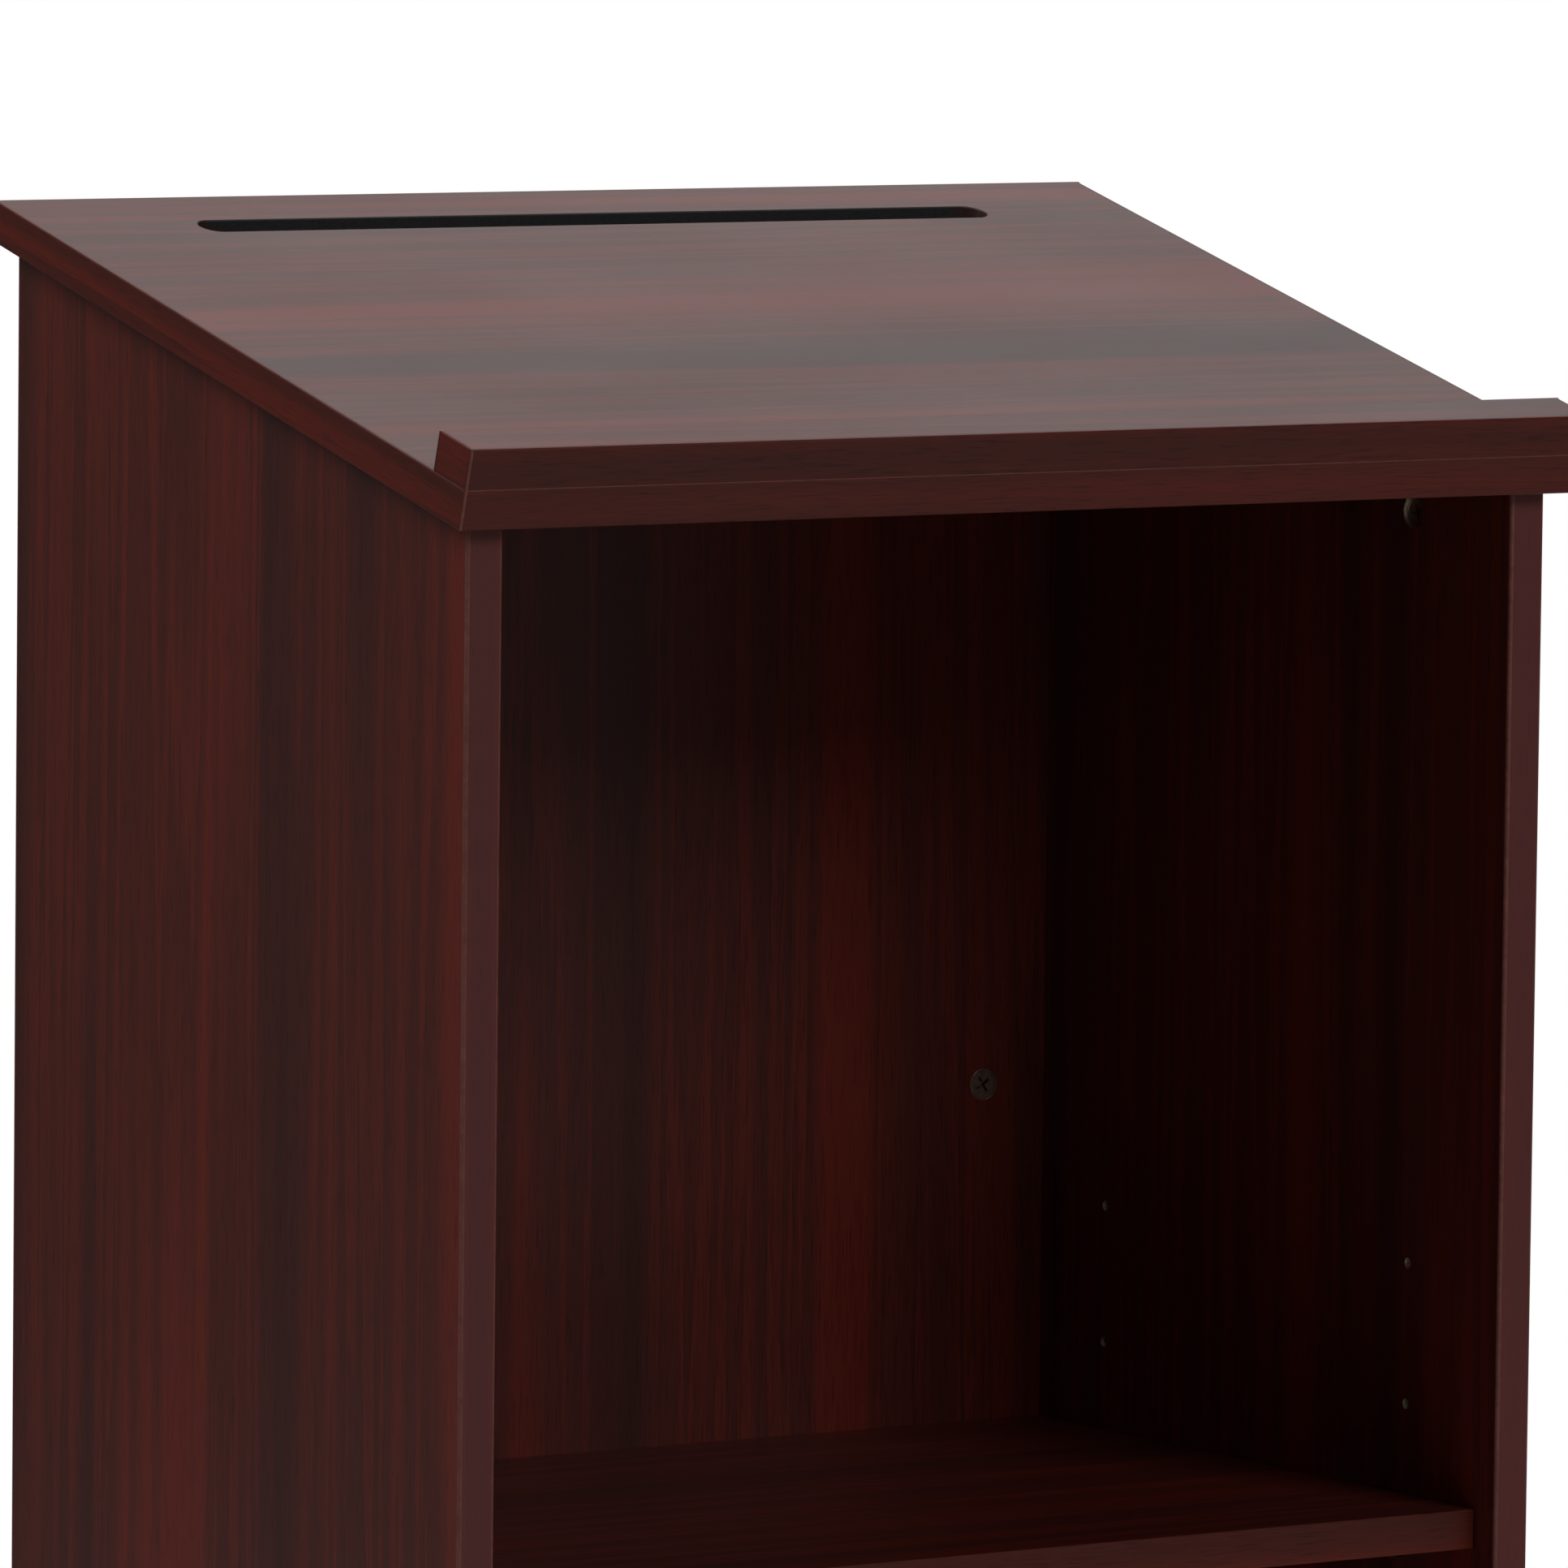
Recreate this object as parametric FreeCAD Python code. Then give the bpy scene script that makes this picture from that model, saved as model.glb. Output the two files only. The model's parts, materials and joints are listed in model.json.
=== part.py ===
import FreeCAD, Part
import math
import os

from FreeCAD import Placement, Rotation, Vector

# Stand-up lectern of laminated board: two side panels, an audience-side panel, a sloping reading
# top with a book ledge and a pen groove, one adjustable shelf on pins, a fixed bottom shelf and a
# kick board, joined by cam locks and dowels.  Millimetres.  +X is the speaker's right, +Y points
# to the audience, +Z is up.  The origin is on the floor, under the middle of the bounding box.

# ---------------------------------------------------------------- driving dimensions
board = 18.0                # thickness of every board
band = 2.0                  # thickness of the glued edge bands
band_round = 1.0            # radius on the outer edges of the bands

cabinet_width = 565.0       # outside, over both side panels
cabinet_depth = 378.0       # depth of a side panel, bands included
panel_reveal = 1.0          # the audience panel stands this far inside the rear edges
glide_height = 5.0          # the boards stand this far above the floor

top_width = 586.0
top_length = 411.0          # measured up the slope
slope = 14.8                # degrees
front_overhang = 11.0       # lower front edge of the top, in front of the side panels
low_edge_height = 1046.0    # height of that edge above the floor

ledge_depth = 27.5          # strip that keeps papers from sliding off
ledge_height = 18.0
ledge_glue_line = 0.2       # the top is milled this deep under the ledge, for the glue
ledge_glue_margin = 0.3     # and this far out behind it

groove_length = 422.0       # pen groove, over its round ends
groove_width = 16.5
groove_depth = 8.0
groove_from_rear = 43.7     # groove centre line to the rear edge, along the slope

shelf_top_drop = 457.0      # top of the shelf below the low edge of the reading top
shelf_setback = 15.0
shelf_gap = 1.0             # at each end of the shelf and behind it

pin_hole_radius = 2.5
pin_hole_depth = 10.0
pin_columns = (69.0, 307.0)     # from the front edge of a side panel
pin_rows = 5
pin_pitch = 64.0
pin_shelf_row = 2           # row that carries the shelf, counted from the top one as 0
pin_shank_clearance = 0.05
pin_shank_length = 9.0
pin_head_radius = 5.7
pin_head_length = 7.0
pin_seat = 5.2              # underside of the shelf above the pin's axis
pin_play = 0.3              # air between the shelf and the flat on the pin's head

bottom_shelf_top = 98.0
bottom_setback = 2.0
kick_setback = 40.0
kick_cam_height = 52.5
kick_dowel_below_cam = 24.0

cam_radius = 7.4            # cam lock that turns in a 15 mm bore
cam_bore_radius = 7.5
cam_height = 12.4
cam_axis_depth = 8.5        # bolt axis below the cam's face
cam_floor_gap = 0.3
cam_reach = 34.0            # mating face to the cam's centre
cam_chamber_radius = 5.4
cam_slot_half = 2.1
cam_edge_inset = 0.5        # the cams of the audience panel, bottom shelf and kick board
cam_side_inset = 2.0        # the deeper ones in the side panels

bolt_thread_radius = 3.0
bolt_thread_length = 10.5
bolt_shaft_radius = 3.5
bolt_neck_radius = 1.9
bolt_head_radius = 3.2
bolt_hole_radius = 3.05
bolt_hole_depth = 11.0
bolt_run_radius = 4.0       # hole for the shaft in the edge of a board

dowel_radius = 4.0
dowel_hole_radius = 4.05
dowel_in_face = 11.0
dowel_in_edge = 23.0
dowel_end_chamfer = 1.0
dowel_from_cam = 32.0

ledge_screws = 5
screw_length = 30.0
screw_radius = 2.0
screw_head_radius = 4.0
screw_clearance = 0.1

glide_radius = 8.5
glide_foot_radius = 6.5
glide_bevel = 2.0
glide_nail_radius = 1.5
glide_nail_length = 16.0
glide_from_end = 30.0
nail_head_radius = 3.5
nail_head_thickness = 2.0
nail_head_bottom = 1.5      # the nail's head sits this far above the floor

# ---------------------------------------------------------------- worked out from them
angle = math.radians(slope)
inner_half = cabinet_width / 2 - board
ledge_top_normal = board + ledge_height
box_front = -front_overhang - ledge_top_normal * math.sin(angle)
box_rear = -front_overhang + top_length * math.cos(angle)
front_y = -(box_front + box_rear) / 2           # front edges of the side panels
panel_inner_y = front_y + cabinet_depth - panel_reveal - board
boards_foot = glide_height
shelf_top = low_edge_height - shelf_top_drop
pin_row_top = shelf_top - board - pin_seat + pin_shelf_row * pin_pitch
bottom_shelf_under = bottom_shelf_top - board

up_slope = Vector(0, math.cos(angle), math.sin(angle))
off_slope = Vector(0, -math.sin(angle), math.cos(angle))
low_edge = Vector(0, front_y - front_overhang, low_edge_height)

x_axis = Vector(1, 0, 0)
y_axis = Vector(0, 1, 0)
z_axis = Vector(0, 0, 1)
side_sign = {"left": -1, "right": 1}

# the panels' cam locks, as heights above the floor
panel_cam_heights = (171.4, 459.4, 747.4)
top_cam_along = (78.5, 320.5)       # along the slope, from the top's low edge
shelf_cam_from_front = (69.0, 307.0)


def slope_point(x, along, normal):
    """A point given along the slope and square to the underside of the reading top."""
    return Vector(x, 0, 0) + low_edge + up_slope * along + off_slope * normal


def box(x0, x1, y0, y1, z0, z1):
    return Part.makeBox(x1 - x0, y1 - y0, z1 - z0, Vector(x0, y0, z0))


def slope_box(x0, x1, along0, along1, normal0, normal1):
    """A box lying on the slope; along and normal are slope coordinates."""
    solid = Part.makeBox(x1 - x0, along1 - along0, normal1 - normal0)
    solid.Placement = Placement(slope_point(x0, along0, normal0), Rotation(x_axis, slope))
    return solid


def below_top(solid):
    """The part of a solid that lies under the reading top."""
    reach = 2000.0
    under = slope_box(-reach, reach, -reach, reach, -reach, 0)
    return solid.common(under)


def rod(start, direction, radius, length):
    return Part.makeCylinder(radius, length, start, direction)


def frame(origin, x_direction, z_direction):
    return Placement(origin, Rotation(x_direction, z_direction.cross(x_direction), z_direction, "ZXY"))


def placed(solid, placement):
    moved = solid.copy()
    moved.Placement = placement.multiply(moved.Placement)
    return moved


def cut(solid, tools):
    return solid.cut(tools) if tools else solid


def round_edges(solid, radius, chosen):
    """Fillet the edges for which chosen(edge) is true."""
    edges = [edge for edge in solid.Edges if chosen(edge)]
    return solid.makeFillet(radius, edges) if edges else solid


def export(name, solids):
    solids = solids if isinstance(solids, list) else [solids]
    shape = solids[0] if len(solids) == 1 else Part.makeCompound(solids)
    loose = [part for solid in solids for part in solid.Solids]
    if not all(part.isValid() for part in loose):
        raise ValueError(name + " is not a valid solid")
    if len(loose) != len(solids):
        raise ValueError(name + " has fallen into pieces")
    if len(loose) == 1:
        shape = loose[0]
    shape.exportStep("parts/" + name + ".step")
    print(name, len(loose), round(sum(part.Volume for part in loose) / 1000, 2), "cm3")


# ---------------------------------------------------------------- cam lock joints
class CamJoint:
    """One cam lock: the bolt stands in the mating face and its head sits in the cam.

    foot is the point where the bolt's axis meets the mating face, reach the direction from
    there to the cam, and mouth the direction in which the cam faces."""

    def __init__(self, foot, reach, mouth, inset):
        self.foot = foot
        self.reach = reach
        self.mouth = mouth
        self.inset = inset
        self.centre = foot + reach * cam_reach
        self.frame = frame(self.centre + mouth * cam_axis_depth, reach * -1, mouth)

    def cam_bore(self):
        depth = self.inset + cam_height + cam_floor_gap
        start = self.centre + self.mouth * (cam_axis_depth + self.inset)
        return rod(start, self.mouth * -1, cam_bore_radius, depth)

    def shaft_hole(self):
        return rod(self.foot, self.reach, bolt_run_radius, cam_reach)

    def bolt_hole(self):
        return rod(self.foot, self.reach * -1, bolt_hole_radius, bolt_hole_depth)

    def cam(self):
        return placed(make_cam(), self.frame)

    def bolt(self):
        return placed(make_bolt(), frame(self.foot, self.mouth, self.reach))


def wedge(start_angle, sweep, inner, outer, z0, z1):
    """A ring sector about the z axis, angles in degrees."""
    profile = Part.makePolygon([Vector(inner, 0, z0), Vector(outer, 0, z0), Vector(outer, 0, z1),
                                Vector(inner, 0, z1), Vector(inner, 0, z0)])
    solid = Part.Face(profile).revolve(Vector(0, 0, 0), z_axis, sweep)
    solid.rotate(Vector(0, 0, 0), z_axis, start_angle)
    return solid


def make_cam():
    """Cam lock with its face at z = 0, mouth up, locked on a bolt that comes in along -x."""
    rim_round = 0.4
    chamber_roof = -5.0
    entry_half = 31.0
    slot_end = 20.0
    turn = 180.0
    cross_width = 1.5
    cross_length = 8.6
    cross_depth = 3.0
    cross_turn = 32.0
    arrow_depth = 0.5
    body = Part.makeCylinder(cam_radius, cam_height, Vector(0, 0, -cam_height))
    body = round_edges(body, rim_round, lambda edge: edge.Curve.TypeId == "Part::GeomCircle"
                       and abs(edge.CenterOfMass.z) < 0.01)
    chamber = Part.makeCylinder(cam_chamber_radius, cam_height + chamber_roof,
                                Vector(0, 0, -cam_height))
    wall = (cam_chamber_radius - 1.0, cam_radius + 1.0)
    slot = wedge(-turn, turn + slot_end, wall[0], wall[1],
                 -cam_axis_depth - cam_slot_half, -cam_axis_depth + cam_slot_half)
    entry = wedge(-turn - entry_half, 2 * entry_half, wall[0], wall[1],
                  -cam_height - 1.0, chamber_roof)
    body = body.cut([chamber, slot, entry])
    for quarter in (0, 90):
        blade = Part.makeBox(cross_length, cross_width, cross_depth + 1.0,
                             Vector(-cross_length / 2, -cross_width / 2, -cross_depth))
        blade.rotate(Vector(0, 0, 0), z_axis, cross_turn + quarter)
        body = body.cut(blade)
    arrow = Part.Face(Part.makePolygon([Vector(6.6, 0, 0), Vector(5.2, 0.9, 0), Vector(5.2, -0.9, 0),
                                        Vector(6.6, 0, 0)])).extrude(Vector(0, 0, -arrow_depth))
    return body.cut(arrow)


def make_bolt():
    """Cam bolt: z = 0 is the mating face, the head is at the upper end."""
    shaft_end = 25.5
    head_start = 31.0
    head_end = 33.5
    outline = [(0, -bolt_thread_length), (bolt_thread_radius - 1.0, -bolt_thread_length),
               (bolt_thread_radius, -bolt_thread_length + 1.5), (bolt_thread_radius, 0),
               (bolt_shaft_radius, 0), (bolt_shaft_radius, shaft_end),
               (bolt_neck_radius, shaft_end + 0.8), (bolt_neck_radius, head_start - 0.6),
               (bolt_head_radius, head_start), (bolt_head_radius, head_end - 0.6),
               (bolt_head_radius - 0.8, head_end), (0, head_end), (0, -bolt_thread_length)]
    profile = Part.Face(Part.makePolygon([Vector(r, 0, z) for r, z in outline]))
    return profile.revolve(Vector(0, 0, 0), z_axis, 360)


def make_dowel(foot, reach):
    """Wooden dowel standing across a joint: part in the face, part in the edge."""
    clearance = 0.5
    length = dowel_in_face + dowel_in_edge - 2 * clearance
    solid = rod(foot - reach * (dowel_in_face - clearance), reach, dowel_radius, length)
    return solid.makeChamfer(dowel_end_chamfer, [edge for edge in solid.Edges if edge.isClosed()
                                                 and edge.Curve.TypeId == "Part::GeomCircle"])


def face_hole(foot, reach):
    return rod(foot, reach * -1, dowel_hole_radius, dowel_in_face)


def edge_hole(foot, reach):
    return rod(foot, reach, dowel_hole_radius, dowel_in_edge)


# joints between the reading top and the side panels: the bolt stands in the top's underside
top_joints = []
top_dowels = []
for side, sign in side_sign.items():
    for along in top_cam_along:
        joint_x = sign * (inner_half + cam_axis_depth + cam_side_inset)
        foot = slope_point(joint_x, along, 0)
        top_joints.append((side, CamJoint(foot, off_slope * -1, x_axis * -sign, cam_side_inset)))
        inward = 1 if along < top_length / 2 else -1
        dowel_x = sign * (cabinet_width / 2 - board / 2)
        top_dowels.append((side, slope_point(dowel_x, along + inward * dowel_from_cam, 0)))

# joints between the audience panel and the side panels
panel_joints = []
panel_dowels = []
for side, sign in side_sign.items():
    for height in panel_cam_heights:
        foot = Vector(sign * inner_half, panel_inner_y + cam_axis_depth + cam_edge_inset, height)
        panel_joints.append((side, CamJoint(foot, x_axis * -sign, y_axis * -1, cam_edge_inset)))
        panel_dowels.append((side, foot + z_axis * dowel_from_cam))

# joints between the bottom shelf and the side panels, with the cams underneath
bottom_joints = []
bottom_dowels = []
for side, sign in side_sign.items():
    for from_front in shelf_cam_from_front:
        height = bottom_shelf_under + cam_axis_depth + cam_edge_inset
        foot = Vector(sign * inner_half, front_y + from_front, height)
        bottom_joints.append((side, CamJoint(foot, x_axis * -sign, z_axis * -1, cam_edge_inset)))
        inward = 1 if from_front < cabinet_depth / 2 else -1
        bottom_dowels.append((side, foot + y_axis * inward * dowel_from_cam))

# joints between the kick board and the side panels, with the cams on its rear face
kick_joints = []
kick_dowels = []
kick_rear_y = front_y + kick_setback + board
for side, sign in side_sign.items():
    foot = Vector(sign * inner_half, kick_rear_y - cam_axis_depth - cam_edge_inset, kick_cam_height)
    kick_joints.append((side, CamJoint(foot, x_axis * -sign, y_axis, cam_edge_inset)))
    kick_dowels.append((side, foot - z_axis * kick_dowel_below_cam))


# ---------------------------------------------------------------- boards
def pin_hole_points(side_sign, rows):
    return [Vector(side_sign * inner_half, front_y + column, pin_row_top - row * pin_pitch)
            for row in rows for column in pin_columns]


def side_outline(sign):
    """The whole side panel, bands included, with its upper edge cut to the slope."""
    inner = sign * inner_half
    outer = sign * cabinet_width / 2
    tall = box(min(inner, outer), max(inner, outer), front_y, front_y + cabinet_depth,
               boards_foot, low_edge_height + top_length)
    return below_top(tall)


def side_panel(side, sign):
    core = side_outline(sign)
    core = core.common(box(-cabinet_width, cabinet_width, front_y + band,
                           front_y + cabinet_depth - band, 0, 2 * low_edge_height))
    holes = [rod(point, x_axis * sign, pin_hole_radius, pin_hole_depth)
             for point in pin_hole_points(sign, range(pin_rows))]
    for which, joint in top_joints:
        if which == side:
            holes += [joint.cam_bore(), joint.shaft_hole()]
    for which, joint in panel_joints + bottom_joints + kick_joints:
        if which == side:
            holes.append(joint.bolt_hole())
    for which, foot in top_dowels:
        if which == side:
            holes.append(edge_hole(foot, off_slope * -1))
    for which, foot in panel_dowels + bottom_dowels + kick_dowels:
        if which == side:
            holes.append(face_hole(foot, x_axis * -sign))
    for nail in glide_nails(sign):
        holes.append(nail)
    return cut(core, holes)


def side_band(sign, at_front):
    y0 = front_y if at_front else front_y + cabinet_depth - band
    strip = side_outline(sign).common(box(-cabinet_width, cabinet_width, y0, y0 + band,
                                          0, 2 * low_edge_height))
    outer_y = front_y if at_front else front_y + cabinet_depth

    def upright(edge):
        ends = [vertex.Point for vertex in edge.Vertexes]
        return (len(ends) == 2 and abs(ends[0].z - ends[1].z) > board
                and abs(edge.CenterOfMass.y - outer_y) < 0.01)
    return round_edges(strip, band_round, upright)


def audience_panel():
    solid = below_top(box(-inner_half, inner_half, panel_inner_y, panel_inner_y + board,
                          boards_foot, low_edge_height + top_length))
    holes = []
    for side, joint in panel_joints:
        holes += [joint.cam_bore(), joint.shaft_hole()]
    for side, foot in panel_dowels:
        holes.append(edge_hole(foot, x_axis * -side_sign[side]))
    return cut(solid, holes)


def groove_cutter():
    """The pen groove: a flat-bottomed slot with round ends."""
    radius = groove_width / 2
    straight = groove_length / 2 - radius
    middle = top_length - groove_from_rear
    mouth = board + 1.0
    tool = slope_box(-straight, straight, middle - radius, middle + radius,
                     board - groove_depth, mouth)
    for x in (-straight, straight):
        tool = tool.fuse(rod(slope_point(x, middle, board - groove_depth), off_slope, radius,
                             groove_depth + 1.0))
    return tool.removeSplitter()


def screw_points():
    spread = top_width / 2 - 60.0
    step = 2 * spread / (ledge_screws - 1)
    return [slope_point(-spread + step * index, ledge_depth / 2, 0) for index in range(ledge_screws)]


def make_screw(foot, clearance):
    """Countersunk wood screw, head at the underside of the top; clearance swells it to a hole."""
    radius = screw_radius + clearance
    head = screw_head_radius + clearance
    head_depth = 2.6
    tip = 5.0
    outline = [(0, 0), (head, 0), (radius, head_depth), (radius, screw_length - tip),
               (0, screw_length + clearance), (0, 0)]
    profile = Part.Face(Part.makePolygon([Vector(r, 0, z) for r, z in outline]))
    solid = profile.revolve(Vector(0, 0, 0), z_axis, 360)
    if clearance == 0:
        cross = Part.makeBox(4.6, 0.9, 1.8, Vector(-2.3, -0.45, 0))
        second = cross.copy()
        second.rotate(Vector(0, 0, 0), z_axis, 90)
        solid = solid.cut([cross, second])
    return placed(solid, frame(foot, x_axis, off_slope))


def reading_top():
    core = slope_box(-top_width / 2 + band, top_width / 2 - band, band, top_length - band, 0, board)
    holes = [groove_cutter()]
    holes.append(slope_box(-top_width, top_width, 0, ledge_depth + ledge_glue_margin,
                           board - ledge_glue_line, 2 * board))
    holes += [joint.bolt_hole() for _, joint in top_joints]
    holes += [face_hole(foot, off_slope * -1) for _, foot in top_dowels]
    holes += [make_screw(foot, screw_clearance) for foot in screw_points()]
    return cut(core, holes)


def slope_band(x0, x1, along0, along1, normal0, normal1, outward):
    """A band on the slope; outward points off the board.

    The front and rear bands run over the ends of the other two, so they are rounded all round
    their outer face, and the others only along its two long edges."""
    strip = slope_box(x0, x1, along0, along1, normal0, normal1)
    half_thick = band / 2 - 0.01
    middle = strip.CenterOfMass
    runs_over = abs(outward.x) < 0.5

    def rounded(edge):
        if (edge.CenterOfMass - middle).dot(outward) < half_thick:
            return False
        ends = [vertex.Point for vertex in edge.Vertexes]
        direction = (ends[1] - ends[0]).normalize()
        return runs_over or abs(direction.dot(up_slope)) > 0.99
    return round_edges(strip, band_round, rounded)


def bands_round_board(depth, normal0, normal1):
    """Front, rear, left and right bands of a board lying on the slope from its low edge."""
    half = top_width / 2
    return {"front": slope_band(-half, half, 0, band, normal0, normal1, up_slope * -1),
            "rear": slope_band(-half, half, depth - band, depth, normal0, normal1, up_slope),
            "left": slope_band(-half, -half + band, band, depth - band, normal0, normal1, x_axis * -1),
            "right": slope_band(half - band, half, band, depth - band, normal0, normal1, x_axis)}


def book_ledge():
    core = slope_box(-top_width / 2 + band, top_width / 2 - band, band, ledge_depth - band,
                     board, ledge_top_normal)
    return cut(core, [make_screw(foot, screw_clearance) for foot in screw_points()])


shelf_half = inner_half - shelf_gap
shelf_front = front_y + shelf_setback
shelf_rear = panel_inner_y - shelf_gap


def flat_band(half, y0, z1):
    """Band along the front edge of a level board whose upper face is at z1."""
    strip = box(-half, half, y0, y0 + band, z1 - board, z1)
    return round_edges(strip, band_round, lambda edge: abs(edge.CenterOfMass.y - y0) < 0.01
                       and edge.Length > half)


def bottom_shelf():
    solid = box(-inner_half, inner_half, front_y + bottom_setback + band, panel_inner_y,
                bottom_shelf_under, bottom_shelf_top)
    holes = []
    for _, joint in bottom_joints:
        holes += [joint.cam_bore(), joint.shaft_hole()]
    for side, foot in bottom_dowels:
        holes.append(edge_hole(foot, x_axis * -side_sign[side]))
    return cut(solid, holes)


def kick_board():
    solid = box(-inner_half, inner_half, kick_rear_y - board, kick_rear_y, boards_foot,
                bottom_shelf_under)
    holes = []
    for _, joint in kick_joints:
        holes += [joint.cam_bore(), joint.shaft_hole()]
    for side, foot in kick_dowels:
        holes.append(edge_hole(foot, x_axis * -side_sign[side]))
    return cut(solid, holes)


# ---------------------------------------------------------------- pins and glides
def shelf_pin(point, sign):
    """Pin in a side panel: shank in the hole, fat head under the shelf with a flat on top."""
    head = rod(point, x_axis * -sign, pin_head_radius, pin_head_length)
    head = round_edges(head, 0.6, lambda edge: edge.isClosed()
                       and abs(abs(edge.CenterOfMass.x) - abs(point.x)) > pin_head_length / 2)
    over = box(-cabinet_width, cabinet_width, point.y - board, point.y + board,
               point.z + pin_seat - pin_play, point.z + board)
    shank = rod(point, x_axis * sign, pin_hole_radius - pin_shank_clearance, pin_shank_length)
    shank = shank.makeChamfer(0.6, [edge for edge in shank.Edges if edge.isClosed()
                                    and abs(edge.CenterOfMass.x - point.x) > 1.0
                                    and edge.Curve.TypeId == "Part::GeomCircle"])
    return head.cut(over).fuse(shank)


def glide_points(sign):
    x = sign * (cabinet_width / 2 - board / 2)
    return [Vector(x, front_y + y, boards_foot) for y in (glide_from_end,
                                                           cabinet_depth - glide_from_end)]


def glide_nails(sign):
    return [rod(point, z_axis, glide_nail_radius, glide_nail_length) for point in glide_points(sign)]


def nail_part(point, radius, length):
    """A stretch of a glide's nail that starts at the lower face of its head."""
    return rod(Vector(point.x, point.y, nail_head_bottom), z_axis, radius, length)


def glide(point):
    """Plastic glide: a low disc, bevelled at the foot; the nail is a piece of its own."""
    disc = Part.makeCone(glide_foot_radius, glide_radius, glide_bevel, Vector(point.x, point.y, 0))
    disc = disc.fuse(rod(Vector(point.x, point.y, glide_bevel), z_axis, glide_radius,
                         glide_height - glide_bevel))
    return disc.removeSplitter().cut([nail_part(point, nail_head_radius, nail_head_thickness),
                                      nail_part(point, glide_nail_radius, glide_height)])


def glide_nail(point):
    tip_clearance = 0.5
    length = glide_height - nail_head_bottom + glide_nail_length - tip_clearance
    head = nail_part(point, nail_head_radius, nail_head_thickness)
    return head.fuse(nail_part(point, glide_nail_radius, length)).removeSplitter()


# ---------------------------------------------------------------- write every piece
os.makedirs("parts", exist_ok=True)

for side, sign in side_sign.items():
    export(side + "_side_panel", side_panel(side, sign))
    export(side + "_side_front_band", side_band(sign, True))
    export(side + "_side_rear_band", side_band(sign, False))

export("audience_panel", audience_panel())
export("reading_top", reading_top())
for place, strip in bands_round_board(top_length, 0, board).items():
    export("top_" + place + "_band", strip)
export("book_ledge", book_ledge())
for place, strip in bands_round_board(ledge_depth, board, ledge_top_normal).items():
    export("ledge_" + place + "_band", strip)
export("ledge_screws", [make_screw(foot, 0) for foot in screw_points()])

export("adjustable_shelf", box(-shelf_half, shelf_half, shelf_front + band, shelf_rear,
                               shelf_top - board, shelf_top))
export("shelf_front_band", flat_band(shelf_half, shelf_front, shelf_top))
export("bottom_shelf", bottom_shelf())
export("bottom_shelf_band", flat_band(inner_half, front_y + bottom_setback, bottom_shelf_top))
export("kick_board", kick_board())

for side, sign in side_sign.items():
    for place, point in zip(("front", "rear"), pin_hole_points(sign, [pin_shelf_row])):
        export("shelf_pin_" + side + "_" + place, shelf_pin(point, sign))

cam_groups = (("top", top_joints), ("panel", panel_joints), ("bottom", bottom_joints),
              ("kick", kick_joints))
for group, joints in cam_groups:
    counts = {"left": 0, "right": 0}
    for side, joint in joints:
        counts[side] += 1
        export(group + "_cam_" + side + "_" + str(counts[side]), joint.cam())
    export(group + "_cam_bolts", [joint.bolt() for _, joint in joints])

dowel_groups = (("top", top_dowels, off_slope * -1), ("panel", panel_dowels, None),
                ("bottom", bottom_dowels, None), ("kick", kick_dowels, None))
for group, dowels, reach in dowel_groups:
    solids = []
    for side, foot in dowels:
        inward = x_axis * -side_sign[side]
        solids.append(make_dowel(foot, reach if reach else inward))
    export(group + "_dowels", solids)

feet = [point for sign in side_sign.values() for point in glide_points(sign)]
export("floor_glides", [glide(point) for point in feet])
export("glide_nails", [glide_nail(point) for point in feet])
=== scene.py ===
import json
import math

import bpy
from mathutils import Matrix, Vector


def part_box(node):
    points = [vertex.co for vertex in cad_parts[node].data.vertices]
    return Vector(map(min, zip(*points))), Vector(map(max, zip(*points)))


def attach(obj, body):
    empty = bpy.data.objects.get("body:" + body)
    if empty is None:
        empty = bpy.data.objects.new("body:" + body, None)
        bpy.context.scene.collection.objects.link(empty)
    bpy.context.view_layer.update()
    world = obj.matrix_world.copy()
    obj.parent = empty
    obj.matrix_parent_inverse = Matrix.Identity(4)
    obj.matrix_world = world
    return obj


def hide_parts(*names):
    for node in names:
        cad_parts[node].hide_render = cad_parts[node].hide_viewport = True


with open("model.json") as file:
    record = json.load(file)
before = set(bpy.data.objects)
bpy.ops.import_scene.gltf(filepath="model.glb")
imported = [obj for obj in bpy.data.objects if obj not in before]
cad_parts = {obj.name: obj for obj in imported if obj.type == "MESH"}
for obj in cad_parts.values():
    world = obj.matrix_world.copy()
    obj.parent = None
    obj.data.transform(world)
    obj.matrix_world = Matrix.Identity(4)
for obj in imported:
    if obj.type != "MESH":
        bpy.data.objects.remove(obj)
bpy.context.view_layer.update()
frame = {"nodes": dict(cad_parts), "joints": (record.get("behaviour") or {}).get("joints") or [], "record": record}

mm = 0.001
nearly = 0.01 * mm     # two places closer than this are the same


# where things lie, read from the frame
def sizeOf(node):
    low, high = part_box(node)
    return high - low


bandThick = sizeOf("left_side_front_band").y
boardThick = sizeOf("left_side_front_band").x
mounts = {mount["name"]: mount for mount in frame["record"]["mounts"]}
joints = {joint["child"]: joint for joint in frame["joints"]}

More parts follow.
